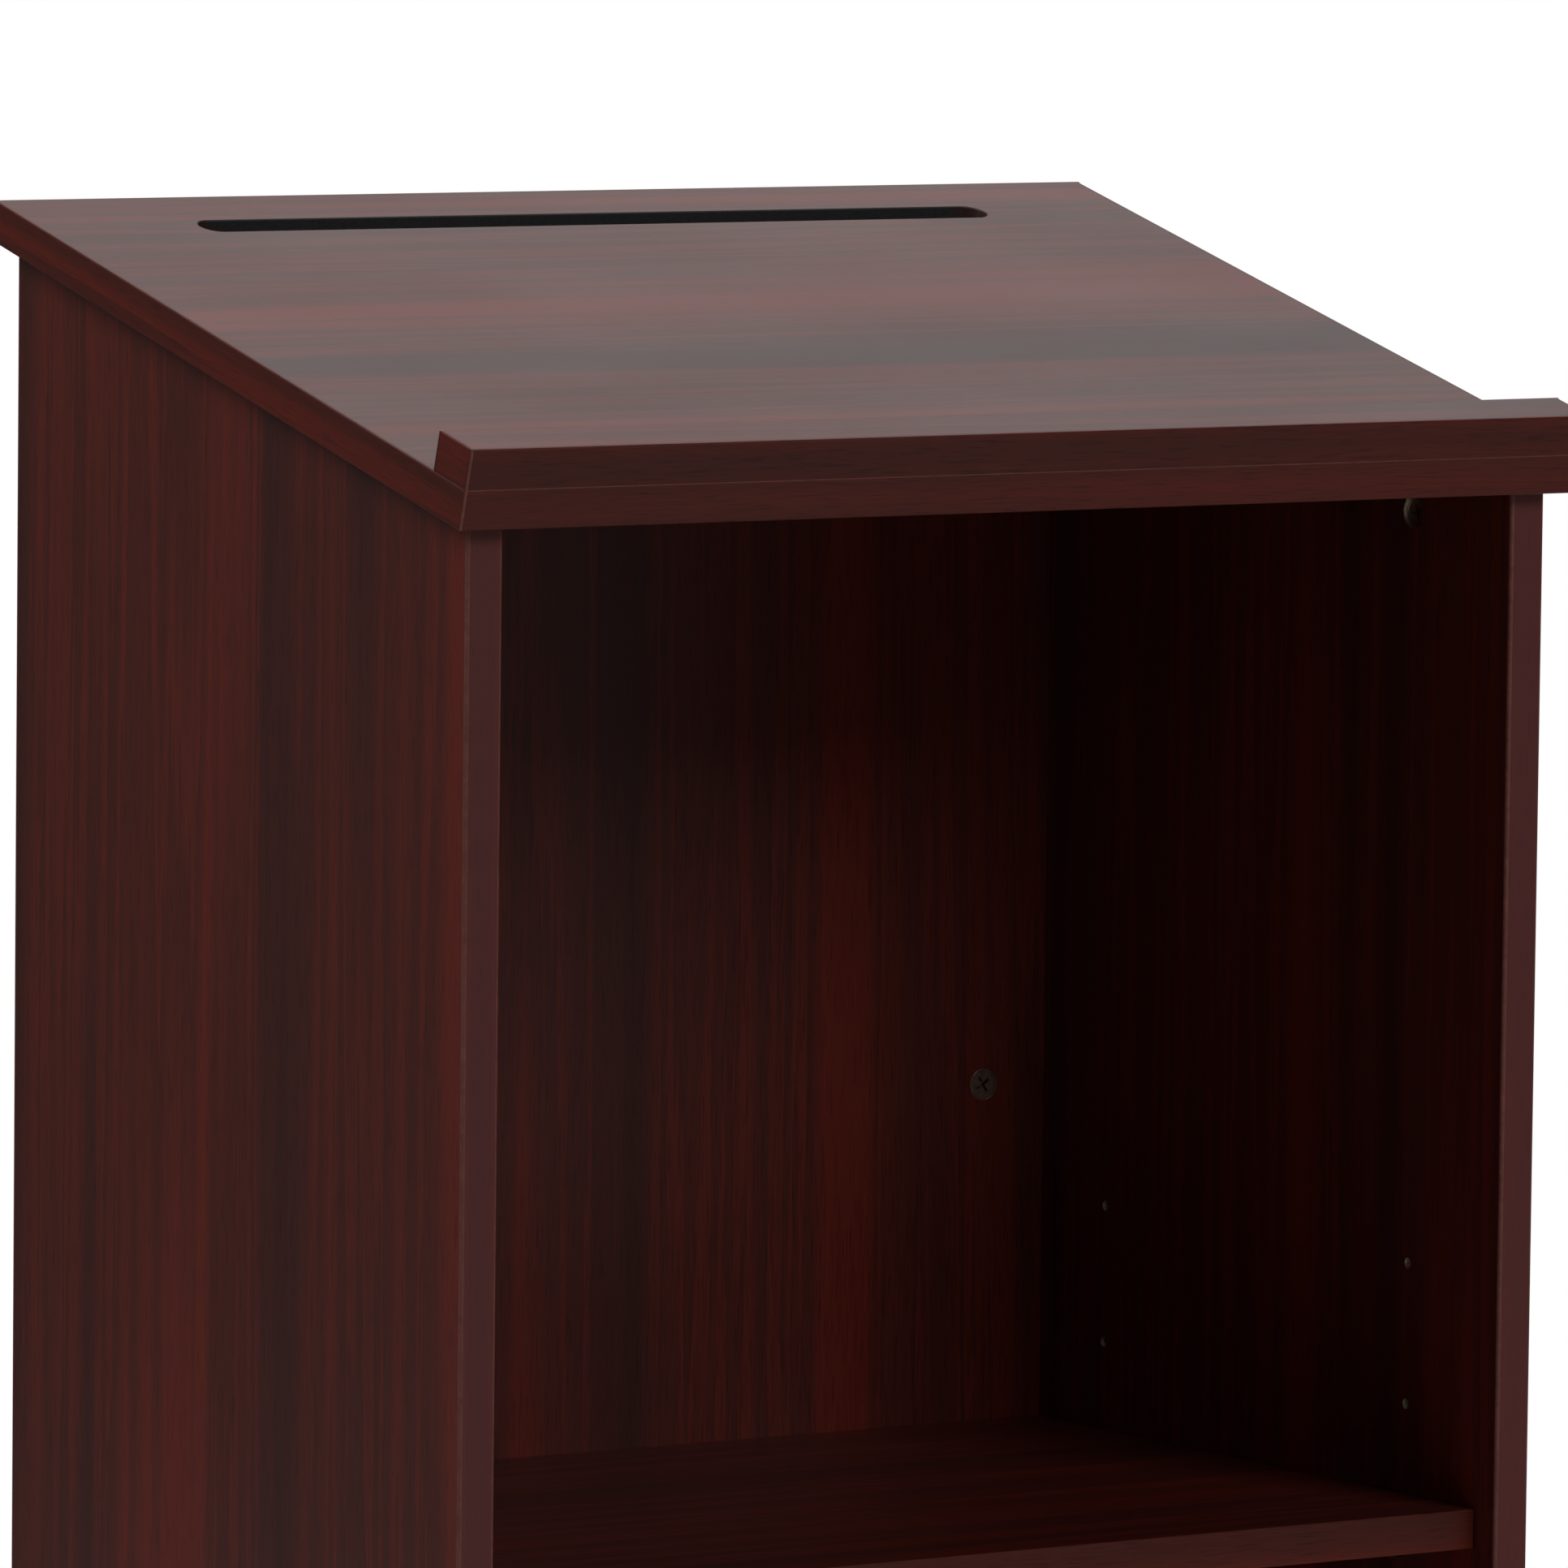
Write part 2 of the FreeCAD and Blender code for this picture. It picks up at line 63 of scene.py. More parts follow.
offSlope = Vector(mounts["reading_surface"]["axis"])     # square to the reading surface
slopeTurn = math.atan2(-offSlope.y, offSlope.z)
upSlope = Vector((0, math.cos(slopeTurn), math.sin(slopeTurn)))
topWidth = sizeOf("top_front_band").x
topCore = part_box("reading_top")
lowEdge = Vector((0,
                  topCore[0].y - bandThick * upSlope.y + boardThick * upSlope.z,
                  topCore[0].z - bandThick * upSlope.z))
slopePlace = Matrix.Translation(lowEdge) @ Matrix.Rotation(slopeTurn, 4, "X")
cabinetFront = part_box("left_side_front_band")[0].y
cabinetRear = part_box("left_side_rear_band")[1].y
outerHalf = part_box("right_side_panel")[1].x
innerHalf = outerHalf - boardThick


def slopeSize(node):
    # length up the slope and height square to it, of a plain board on the slope
    size = sizeOf(node)
    turn = math.cos(2 * slopeTurn)
    along = (size.y * upSlope.y - size.z * upSlope.z) / turn
    tall = (size.z * upSlope.y - size.y * upSlope.z) / turn
    return along, tall


topLength = slopeSize("reading_top")[0] + 2 * bandThick
ledgeDepth = slopeSize("book_ledge")[0] + 2 * bandThick
ledgeHeight = slopeSize("book_ledge")[1]

cameraLook = {
    "place": (-3.0731, -4.6355, 1.4160),
    "turn": -33.541,     # degrees, from looking straight at the audience
    "down": 5.175,
    "roll": 0.640,
    "lens": 287.85,
    "sensor": 36,
    "sight": 100,        # metres it sees
}


def makeCamera(look):
    bpy.ops.object.camera_add(location=look["place"])
    camera = bpy.context.object
    turned = (Matrix.Rotation(math.radians(look["turn"]), 4, "Z")
              @ Matrix.Rotation(math.radians(90 - look["down"]), 4, "X")
              @ Matrix.Rotation(math.radians(look["roll"]), 4, "Z"))
    camera.rotation_euler = turned.to_euler()
    camera.data.lens = look["lens"]
    camera.data.sensor_width = look["sensor"]
    camera.data.clip_end = look["sight"]
    bpy.context.scene.camera = camera


studioLook = {
    "floorColour": (0.90, 0.90, 0.89, 1),
    "floorRoughness": 0.8,
    "floorRadius": 3.5,
    "floorCorners": 96,
    "backgroundSeen": 1.0,
    "backgroundLight": 0.015,
    "aim": (0, 0, 0.85),
    "lamps": {
        "key": {"place": (0.9, -4.0, 3.2), "size": 1.6, "power": 40},
        "lowFront": {"place": (2.2, -3.9, 0.8), "size": 1.5, "power": 1.5},
        "frontLeft": {"place": (-1.6, -4.0, 2.6), "size": 1.6, "power": 5},
        "left": {"place": (-1.5, 0.5, 2.45), "size": 1.0, "power": 15},
        "leftRear": {"place": (-2.6, 3.3, 1.0), "size": 1.5, "power": 1.2},
        "rightRear": {"place": (2.6, 3.2, 0.95), "size": 1.6, "power": 18},
        "behind": {"place": (2.5, 3.06, 3.3), "size": 3.0, "power": 25},
        "overhead": {"place": (-0.2, 0.3, 3.9), "size": 1.2, "power": 18},
    },
}


def addSoftbox(name, look, aim):
    bpy.ops.object.light_add(type="AREA", location=look["place"])
    lamp = bpy.context.object
    lamp.name = name
    lamp.data.size = look["size"]
    lamp.data.energy = look["power"]
    away = Vector(aim) - Vector(look["place"])
    lamp.rotation_euler = away.to_track_quat("-Z", "Y").to_euler()


def makeStudio(look):
    bpy.ops.mesh.primitive_circle_add(vertices=look["floorCorners"], radius=look["floorRadius"],
                                      fill_type="NGON")
    floor = bpy.context.object
    floor.name = "studioFloor"
    paper = bpy.data.materials.new("floorPaper")
    paper.use_nodes = True
    shader = paper.node_tree.nodes["Principled BSDF"]
    shader.inputs["Base Color"].default_value = look["floorColour"]
    shader.inputs["Roughness"].default_value = look["floorRoughness"]
    floor.data.materials.append(paper)

    world = bpy.data.worlds.new("studioWorld")
    bpy.context.scene.world = world
    world.use_nodes = True
    nodes, links = world.node_tree.nodes, world.node_tree.links
    nodes.clear()
    output = nodes.new("ShaderNodeOutputWorld")
    mix = nodes.new("ShaderNodeMixShader")
    ray = nodes.new("ShaderNodeLightPath")
    seen = nodes.new("ShaderNodeBackground")
    light = nodes.new("ShaderNodeBackground")
    seen.inputs["Strength"].default_value = look["backgroundSeen"]
    light.inputs["Strength"].default_value = look["backgroundLight"]
    seen.inputs["Color"].default_value = (1, 1, 1, 1)
    light.inputs["Color"].default_value = (1, 1, 1, 1)
    links.new(ray.outputs["Is Camera Ray"], mix.inputs["Fac"])
    links.new(light.outputs[0], mix.inputs[1])
    links.new(seen.outputs[0], mix.inputs[2])
    links.new(mix.outputs[0], output.inputs["Surface"])

    for name, lamp in look["lamps"].items():
        addSoftbox(name + "Softbox", lamp, look["aim"])
    bpy.context.scene.view_settings.view_transform = "Standard"


makeCamera(cameraLook)
makeStudio(studioLook)
print("camera and studio are up")


# short calls for wiring up a material
class Wiring:
    def __init__(self, name):
        self.material = bpy.data.materials.new(name)
        self.material.use_nodes = True
        self.nodes = self.material.node_tree.nodes
        self.links = self.material.node_tree.links
        self.shader = self.nodes["Principled BSDF"]

    def add(self, kind, **settings):
        node = self.nodes.new("ShaderNode" + kind)
        for key, value in settings.items():
            setattr(node, key, value)
        return node

    def join(self, source, target):
        self.links.new(source, target)

    def feed(self, value, target):
        if isinstance(value, tuple):
            target.default_value = value if len(target.default_value) == len(value) else (*value, 1)
        elif isinstance(value, (int, float)):
            target.default_value = value
        else:
            self.join(value, target)

    def sum(self, operation, first, second=None, clamp=False):
        node = self.add("Math", operation=operation, use_clamp=clamp)
        self.feed(first, node.inputs[0])
        if second is not None:
            self.feed(second, node.inputs[1])
        return node.outputs[0]

    def about(self, value, spread, middle):
        # a pattern from 0 to 1 turned into middle give or take half the spread
        return self.sum("ADD", self.sum("MULTIPLY", self.sum("SUBTRACT", value, 0.5), spread), middle)

    def placed(self, origin=(0, 0, 0), turn=(0, 0, 0)):
        # object coordinates seen from a board: x along its grain, z through it
        source = self.add("TexCoord")
        mapping = self.add("Mapping", vector_type="TEXTURE")
        mapping.inputs["Location"].default_value = origin
        mapping.inputs["Rotation"].default_value = turn
        self.join(source.outputs["Object"], mapping.inputs["Vector"])
        return mapping.outputs["Vector"]

    def stretched(self, vector, scale):
        node = self.add("VectorMath", operation="MULTIPLY")
        self.join(vector, node.inputs[0])
        node.inputs[1].default_value = scale
        return node.outputs[0]

    def noise(self, vector, seed, detail=2.0, roughness=0.5):
        node = self.add("TexNoise", noise_dimensions="4D")
        self.join(vector, node.inputs["Vector"])
        node.inputs["W"].default_value = seed
        node.inputs["Scale"].default_value = 1.0
        node.inputs["Detail"].default_value = detail
        node.inputs["Roughness"].default_value = roughness
        return node.outputs["Fac"]

    def ramp(self, value, stops):
        node = self.add("ValToRGB")
        while len(node.color_ramp.elements) < len(stops):
            node.color_ramp.elements.new(0.5)
        for element, (place, colour) in zip(node.color_ramp.elements, stops):
            element.position = place
            shade = (colour,) * 3 if isinstance(colour, (int, float)) else colour
            element.color = (*shade, 1)
        self.join(value, node.inputs["Fac"])
        return node.outputs["Color"]

    def mix(self, share, first, second, blend="MIX"):
        node = self.add("Mix", data_type="RGBA", blend_type=blend)
        self.feed(share, node.inputs[0])
        self.feed(first, node.inputs[6])
        self.feed(second, node.inputs[7])
        return node.outputs[2]

    def axes(self, vector):
        node = self.add("SeparateXYZ")
        self.join(vector, node.inputs[0])
        return node.outputs["X"], node.outputs["Y"], node.outputs["Z"]

    def bump(self, height, strength, distance):
        node = self.add("Bump")
        node.inputs["Strength"].default_value = strength
        node.inputs["Distance"].default_value = distance
        self.join(height, node.inputs["Height"])
        self.join(node.outputs["Normal"], self.shader.inputs["Normal"])

    def constants(self, **values):
        for key, value in values.items():
            self.shader.inputs[key].default_value = value


# printed mahogany: broad ribbons of brown and red that fade on one side and end sharply on the
# other, with fine streaks and short dark pores; the scales are along, across and through the board
mahoganyLook = {
    "tones": ((0.26, (0.066, 0.0140, 0.0095)),
              (0.36, (0.098, 0.0172, 0.0110)),
              (0.43, (0.160, 0.0205, 0.0112)),
              (0.447, (0.094, 0.0165, 0.0105)),
              (0.50, (0.112, 0.0182, 0.0115)),
              (0.56, (0.172, 0.0210, 0.0110)),
              (0.578, (0.104, 0.0172, 0.0108)),
              (0.64, (0.135, 0.0190, 0.0112)),
              (0.72, (0.200, 0.0215, 0.0108))),
    "flecks": ((0.30, 0.60), (0.46, 1.0), (0.62, 1.0), (0.75, 1.2)),
    "wander": 0.018,
    "wanderScale": (1.3, 7.0, 0.0),
    "ribbonScale": (0.5, 15.0, 0.0),
    "ribbonShare": 1.1,
    "stripeScale": (0.9, 62.0, 0.0),
    "stripeShare": 0.34,
    "streakScale": (6.0, 330.0, 0.0),
    "streakShare": 0.13,
    "poreScale": (60.0, 1500.0, 0.0),
}


def mahoganyGrain(wiring, vector, seed, contrast=1.0):
    look = mahoganyLook

    def pattern(source, kind, shift, detail=1.0, roughness=0.5):
        scaled = wiring.stretched(source, look[kind + "Scale"])
        return wiring.noise(scaled, seed + shift, detail, roughness)

    drift = wiring.add("CombineXYZ")
    wiring.join(wiring.about(pattern(vector, "wander", 3.1), look["wander"], 0.0), drift.inputs["Y"])
    bent = wiring.add("VectorMath", operation="ADD")
    wiring.join(vector, bent.inputs[0])
    wiring.join(drift.outputs[0], bent.inputs[1])
    bent = bent.outputs[0]
    ribbons = pattern(bent, "ribbon", 5.2)
    stripes = pattern(bent, "stripe", 0.0)
    streaks = pattern(bent, "streak", 7.7, 2.0, 0.6)
    pores = pattern(bent, "pore", 1.9)
    tone = wiring.about(ribbons, look["ribbonShare"] * contrast, 0.5)
    tone = wiring.sum("ADD", tone, wiring.about(stripes, look["stripeShare"] * contrast, 0.0))
    tone = wiring.sum("ADD", tone, wiring.about(streaks, look["streakShare"] * contrast, 0.0))
    colour = wiring.ramp(tone, look["tones"])
    fleck = wiring.ramp(pores, look["flecks"])
    return wiring.mix(1.0, colour, fleck, "MULTIPLY"), pores


chipboardLook = {
    "tones": ((0.28, (0.26, 0.18, 0.11)), (0.5, (0.64, 0.52, 0.36)), (0.68, (0.84, 0.74, 0.57))),
    "chipScale": (420.0, 420.0, 1100.0),
    "chipShare": 0.3,
    "shadeScale": (900.0, 900.0, 1500.0),
    "shadeShare": 0.7,
}


def chipboardGrain(wiring, vector):
    look = chipboardLook
    chips = wiring.add("TexVoronoi")
    chips.inputs["Scale"].default_value = 1.0
    wiring.join(wiring.stretched(vector, look["chipScale"]), chips.inputs["Vector"])
    shade = wiring.noise(wiring.stretched(vector, look["shadeScale"]), 2.2, 3.0, 0.7)
    tone = wiring.sum("ADD", wiring.sum("MULTIPLY", shade, look["shadeShare"]),
                      wiring.sum("MULTIPLY", wiring.axes(chips.outputs["Color"])[0], look["chipShare"]))
    return wiring.ramp(tone, look["tones"]), tone


laminateLook = {"thick": 0.25 * mm, "roughness": 0.40, "poreSpread": 0.10, "wearSpread": 0.10,
                "wearScale": (6.0, 14.0, 9.0), "coreRoughness": 0.9, "relief": (0.12, 0.0003)}


def boardMaterial(name, origin, turn, seed, contrast=1.0):
    # laminate on the two faces of a board, raw chipboard on its edges and in its holes
    look = laminateLook
    wiring = Wiring(name)
    vector = wiring.placed(origin, turn)
    colour, pores = mahoganyGrain(wiring, vector, seed, contrast)
    core, chips = chipboardGrain(wiring, vector)
    fromMiddle = wiring.sum("ABSOLUTE", wiring.axes(vector)[2])
    skin = wiring.sum("GREATER_THAN", fromMiddle, boardThick / 2 - look["thick"])
    wiring.join(wiring.mix(skin, core, colour), wiring.shader.inputs["Base Color"])
    wear = wiring.noise(wiring.stretched(vector, look["wearScale"]), seed + 4.4, 3.0)
    smooth = wiring.sum("ADD", wiring.about(pores, look["poreSpread"], look["roughness"]),
                        wiring.about(wear, look["wearSpread"], 0.0))
    rough = wiring.add("Mix", data_type="FLOAT")
    wiring.feed(skin, rough.inputs[0])
    rough.inputs[2].default_value = look["coreRoughness"]
    wiring.join(smooth, rough.inputs[3])
    wiring.join(rough.outputs[0], wiring.shader.inputs["Roughness"])
    wiring.bump(wiring.mix(skin, chips, pores), *look["relief"])
    return wiring.material


bandSkinLook = {"contrast": 0.8, "pale": (0.25, 0.087, 0.088), "roughness": 0.40,
                "poreSpread": 0.12, "specular": 0.32, "relief": (0.10, 0.0002)}


def bandMaterial(name, turn, seed, paler=0.0):
    look = bandSkinLook
    wiring = Wiring(name)
    vector = wiring.placed(turn=turn)
    colour, pores = mahoganyGrain(wiring, vector, seed, look["contrast"])
    colour = wiring.mix(paler, colour, look["pale"])
    wiring.join(colour, wiring.shader.inputs["Base Color"])
    wiring.join(wiring.about(pores, look["poreSpread"], look["roughness"]),
                wiring.shader.inputs["Roughness"])
    wiring.constants(**{"Specular IOR Level": look["specular"]})
    wiring.bump(pores, *look["relief"])
    return wiring.material


# paler trimmed plastic, brightened further as a painted highlight on the rounded band corners
trimAndHighlightLook = {"tones": ((0.30, (0.185, 0.058, 0.045)), (0.70, (0.29, 0.094, 0.072))),
            "mottlePerMetre": 260.0, "chatterPerMetre": 900.0,
            "roughness": 0.46, "roughnessSpread": 0.16, "relief": (0.10, 0.00015)}


def trimAndHighlightMaterial():
    # the milled corners of the bands show their paler plastic, painted paler still as a highlight where the
    # rounding catches the light
    look = trimAndHighlightLook
    wiring = Wiring("bandCornerTrimAndHighlight")
    vector = wiring.placed()
    mottle = wiring.noise(wiring.stretched(vector, (look["mottlePerMetre"],) * 3), 6.6, 3.0, 0.6)
    chatter = wiring.noise(wiring.stretched(vector, (look["chatterPerMetre"],) * 3), 2.6, 1.0)
    wiring.join(wiring.ramp(mottle, look["tones"]), wiring.shader.inputs["Base Color"])
    wiring.join(wiring.about(mottle, look["roughnessSpread"], look["roughness"]),
                wiring.shader.inputs["Roughness"])
    wiring.bump(chatter, *look["relief"])
    return wiring.material


paintLook = {
    "tones": ((0.3, (0.028, 0.026, 0.028)), (0.7, (0.050, 0.047, 0.049))),
    "thin": (0.060, 0.026, 0.022),
    "scratched": (0.17, 0.15, 0.14),
    "thinFrom": 14 * mm,       # from the groove's end
    "thinOver": 9 * mm,
    "speckleScale": (700.0, 700.0, 700.0),
    "scratchScale": (1400.0, 220.0, 500.0),
    "scratchAbove": 0.66,
    "roughness": 0.55,
    "roughnessSpread": 0.2,
    "relief": (0.15, 0.0002),
}


def groovePaint(origin, turn, halfLength):
    # black paint, thin and scratched where the cutter ran out at both ends
    look = paintLook
    wiring = Wiring("groovePaint")
    vector = wiring.placed(origin, turn)
    fromMiddle = wiring.sum("ABSOLUTE", wiring.axes(vector)[0])
    pastThin = wiring.sum("SUBTRACT", fromMiddle, halfLength - look["thinFrom"])
    ends = wiring.sum("MULTIPLY", pastThin, 1 / look["thinOver"], clamp=True)
    speckle = wiring.noise(wiring.stretched(vector, look["speckleScale"]), 9.1, 2.0)
    scratch = wiring.noise(wiring.stretched(vector, look["scratchScale"]), 5.3, 2.0, 0.7)
    thin = wiring.mix(ends, wiring.ramp(speckle, look["tones"]), look["thin"])
    marks = wiring.sum("MULTIPLY", wiring.sum("GREATER_THAN", scratch, look["scratchAbove"]), ends)
    wiring.join(wiring.mix(marks, thin, look["scratched"]), wiring.shader.inputs["Base Color"])
    wiring.join(wiring.about(speckle, look["roughnessSpread"], look["roughness"]),
                wiring.shader.inputs["Roughness"])
    wiring.bump(speckle, *look["relief"])
    return wiring.material


metalLook = {"darkAt": 0.32, "brightAt": 0.68, "pitsToGrain": 5, "roughnessSpread": 0.22,
             "relief": (0.12, 0.0001)}


def metalMaterial(name, dark, bright, roughness, metallic, grainPerMetre):
    look = metalLook
    wiring = Wiring(name)
    vector = wiring.placed()
    cloud = wiring.noise(wiring.stretched(vector, (grainPerMetre,) * 3), 3.7, 4.0, 0.65)
    pits = wiring.noise(wiring.stretched(vector, (grainPerMetre * look["pitsToGrain"],) * 3), 8.2, 2.0)
    colour = wiring.ramp(cloud, ((look["darkAt"], dark), (look["brightAt"], bright)))
    wiring.join(colour, wiring.shader.inputs["Base Color"])
    wiring.join(wiring.about(cloud, look["roughnessSpread"], roughness),
                wiring.shader.inputs["Roughness"])
    wiring.constants(Metallic=metallic)
    wiring.bump(pits, *look["relief"])
    return wiring.material


beechLook = {
    "tones": ((0.32, (0.42, 0.25, 0.12)), (0.5, (0.60, 0.40, 0.22)), (0.7, (0.70, 0.50, 0.30))),
    "raysPerMetre": 900.0,
    "roughness": 0.62,
    "roughnessSpread": 0.15,
    "relief": (0.25, 0.0002),
}


def beechMaterial():
    look = beechLook
    wiring = Wiring("beechWood")
    vector = wiring.placed()
    rays = wiring.noise(wiring.stretched(vector, (look["raysPerMetre"],) * 3), 1.4, 3.0, 0.6)
    wiring.join(wiring.ramp(rays, look["tones"]), wiring.shader.inputs["Base Color"])
    wiring.join(wiring.about(rays, look["roughnessSpread"], look["roughness"]),
                wiring.shader.inputs["Roughness"])
    wiring.bump(rays, *look["relief"])
    return wiring.material


plasticLook = {"tones": ((0.35, (0.030, 0.019, 0.015)), (0.75, (0.060, 0.042, 0.035))),
               "mouldPerMetre": 1200.0, "scuffScale": (140.0, 500.0, 140.0),
               "roughness": 0.48, "roughnessSpread": 0.25, "relief": (0.15, 0.0001)}


def plasticMaterial():
    look = plasticLook
    wiring = Wiring("glidePlastic")
    vector = wiring.placed()
    mould = wiring.noise(wiring.stretched(vector, (look["mouldPerMetre"],) * 3), 7.4, 2.0)
    scuff = wiring.noise(wiring.stretched(vector, look["scuffScale"]), 3.9, 3.0, 0.7)
    wiring.join(wiring.ramp(scuff, look["tones"]), wiring.shader.inputs["Base Color"])
    wiring.join(wiring.about(scuff, look["roughnessSpread"], look["roughness"]),
                wiring.shader.inputs["Roughness"])
    wiring.bump(mould, *look["relief"])
    return wiring.material


def layOf(grain, through):
    # turn that lays a pattern's x along the grain and its z through the board
    grain, through = Vector(grain), Vector(through)
    across = through.cross(grain)
    return tuple(Matrix((grain, across, through)).transposed().to_euler())


def middleOf(node):
    low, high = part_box(node)
    return tuple((low + high) / 2)


upright = (0, 0, 1)
across = (1, 0, 0)
deep = (0, 1, 0)
topMiddle = tuple(slopePlace @ Vector((0, topLength / 2, boardThick / 2)))
ledgeMiddle = tuple(slopePlace @ Vector((0, ledgeDepth / 2, boardThick + ledgeHeight / 2)))

panelContrast = 1.25
topContrast = 1.4

# every board has its own number, so that no two show the same stretch of grain
leftLaminate = boardMaterial("leftPanelLaminate", middleOf("left_side_panel"),
                             layOf(upright, across), 11.3, panelContrast)
rightLaminate = boardMaterial("rightPanelLaminate", middleOf("right_side_panel"),
                              layOf(upright, across), 27.9, panelContrast)
audienceLaminate = boardMaterial("audiencePanelLaminate", middleOf("audience_panel"),
                                 layOf(upright, deep), 5.6, panelContrast)
topLaminate = boardMaterial("topLaminate", topMiddle, layOf(across, offSlope), 42.0, topContrast)
ledgeLaminate = boardMaterial("ledgeLaminate", ledgeMiddle, layOf(across, offSlope), 8.0)
shelfLaminate = boardMaterial("shelfLaminate", middleOf("adjustable_shelf"),
                              layOf(across, upright), 16.4)
bottomLaminate = boardMaterial("bottomLaminate", middleOf("bottom_shelf"), layOf(across, upright), 31.2)
kickLaminate = boardMaterial("kickLaminate", middleOf("kick_board"), layOf(across, deep), 19.8)
bandAcross = bandMaterial("bandAcross", layOf(across, upSlope), 3.3)
bandUpSlope = bandMaterial("bandUpSlope", layOf(upSlope, across), 6.1)
ledgeBandAcross = bandMaterial("ledgeBandAcross", layOf(across, upSlope), 14.7)
ledgeBandUpSlope = bandMaterial("ledgeBandUpSlope", layOf(upSlope, across), 21.5)
bandUpright = bandMaterial("bandUpright", layOf(upright, deep), 9.2, 0.4)
# band corners: paler trimmed plastic plus a painted highlight
bandTrimAndHighlight = trimAndHighlightMaterial()
camZinc = metalMaterial("camZinc", (0.26, 0.175, 0.14), (0.46, 0.32, 0.26), 0.46, 1.0, 420.0)
boltSteel = metalMaterial("boltSteel", (0.50, 0.48, 0.43), (0.70, 0.68, 0.62), 0.30, 1.0, 260.0)
pinNickel = metalMaterial("pinNickel", (0.60, 0.58, 0.55), (0.78, 0.76, 0.72), 0.24, 1.0, 300.0)
beech = beechMaterial()
glidePlastic = plasticMaterial()
print("materials are mixed")


# ways of working on a piece
def makeActive(piece):
    bpy.ops.object.select_all(action="DESELECT")
    piece.select_set(True)
    bpy.context.view_layer.objects.active = piece


def addBlock(name, low, high):
    bpy.ops.object.select_all(action="DESELECT")
    low, high = Vector(low), Vector(high)
    bpy.ops.mesh.primitive_cube_add(size=1, location=(low + high) / 2)
    piece = bpy.context.object
    piece.name = name
    piece.scale = high - low
    bpy.ops.object.transform_apply(location=True, rotation=False, scale=True)
    return piece


def addRod(name, radius, bottom, top, corners=48, at=(0, 0)):
    bpy.ops.object.select_all(action="DESELECT")
    bpy.ops.mesh.primitive_cylinder_add(vertices=corners, radius=radius, depth=top - bottom,
                                        location=(at[0], at[1], (bottom + top) / 2))
    piece = bpy.context.object
    piece.name = name
    bpy.ops.object.transform_apply(location=True, rotation=False, scale=False)
    return piece


def openUp(piece, kind, wanted):
    # edit mode, with those points, edges or faces selected that wanted() says yes to
    makeActive(piece)
    bpy.ops.object.mode_set(mode="EDIT")
    bpy.ops.mesh.select_mode(type=kind)
    bpy.ops.mesh.select_all(action="DESELECT")
    bpy.ops.object.mode_set(mode="OBJECT")
    mesh = piece.data
    if kind == "VERT":
        for point in mesh.vertices:
            point.select = wanted(point.co)
    elif kind == "EDGE":
        for edge in mesh.edges:
            first, second = (mesh.vertices[index].co for index in edge.vertices)
            edge.select = wanted(first, second)
    else:
        for face in mesh.polygons:
            face.select = wanted(face.center, face.normal)
    bpy.ops.object.mode_set(mode="EDIT")


def closeUp():
    bpy.ops.object.mode_set(mode="OBJECT")


def turnOnLathe(name, outline, steps=32):
    # one point drawn out along the outline of (radius, height) and spun about z
    bpy.ops.object.select_all(action="DESELECT")
    bpy.ops.mesh.primitive_plane_add(size=mm)
    piece = bpy.context.object
    piece.name = name
    bpy.ops.object.mode_set(mode="EDIT")
    bpy.ops.mesh.select_mode(type="VERT")
    bpy.ops.mesh.select_all(action="SELECT")
    bpy.ops.mesh.merge(type="CENTER")
    bpy.ops.transform.translate(value=(outline[0][0], 0, outline[0][1]))
    for (radius, height), (nextRadius, nextHeight) in zip(outline, outline[1:]):
        step = (nextRadius - radius, 0, nextHeight - height)
        bpy.ops.mesh.extrude_vertices_move(TRANSFORM_OT_translate={"value": step})
    bpy.ops.mesh.select_all(action="SELECT")
    bpy.ops.mesh.spin(steps=steps, angle=2 * math.pi, center=(0, 0, 0), axis=(0, 0, 1))
    bpy.ops.mesh.select_all(action="SELECT")
    bpy.ops.mesh.remove_doubles(threshold=nearly / 5)
    bpy.ops.mesh.normals_make_consistent(inside=False)
    closeUp()
    return piece


def sliceOff(piece, point, outward):
    openUp(piece, "FACE", lambda centre, normal: True)
    bpy.ops.mesh.bisect(plane_co=point, plane_no=outward, use_fill=True, clear_outer=True)
    closeUp()


def joinUp(pieces, name):
    makeActive(pieces[0])
    for piece in pieces[1:]:
        piece.select_set(True)
    bpy.ops.object.join()
    pieces[0].name = name
    return pieces[0]


def cutWith(piece, cutters):
    # the cutters are taken out of the piece, then deleted
    cutter = joinUp(cutters, "cutter")
    makeActive(piece)
    away = piece.modifiers.new("cutAway", "BOOLEAN")
    away.operation = "DIFFERENCE"
    away.solver = "EXACT"
    away.use_self = True
    away.object = cutter
    bpy.ops.object.modifier_apply(modifier=away.name)
    bpy.data.objects.remove(cutter)


def copyTo(piece, name, place):
    twin = piece.copy()
    twin.data = piece.data.copy()
    twin.name = name
    bpy.context.scene.collection.objects.link(twin)
    settle(twin, place)
    return twin


def settle(piece, place):
    piece.matrix_world = place @ piece.matrix_world
    makeActive(piece)
    bpy.ops.object.transform_apply(location=True, rotation=True, scale=True)


def standing(point, direction, side=None):
    # a place whose z runs along direction and whose x runs along side
    up = Vector(direction).normalized()
    side = Vector(side) if side is not None else up.orthogonal()
    side = (side - up * side.dot(up)).normalized()
    turned = Matrix((side, up.cross(side), up)).transposed().to_4x4()
    return Matrix.Translation(point) @ turned


def finishPiece(piece, body, nodes, smooth=35):
    makeActive(piece)
    bpy.ops.object.shade_smooth_by_angle(angle=math.radians(smooth))
    flat = piece.modifiers.new("flatFaces", "WEIGHTED_NORMAL")
    flat.keep_sharp = True
    bpy.ops.object.modifier_apply(modifier=flat.name)
    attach(piece, body)
    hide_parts(*nodes)
    return piece


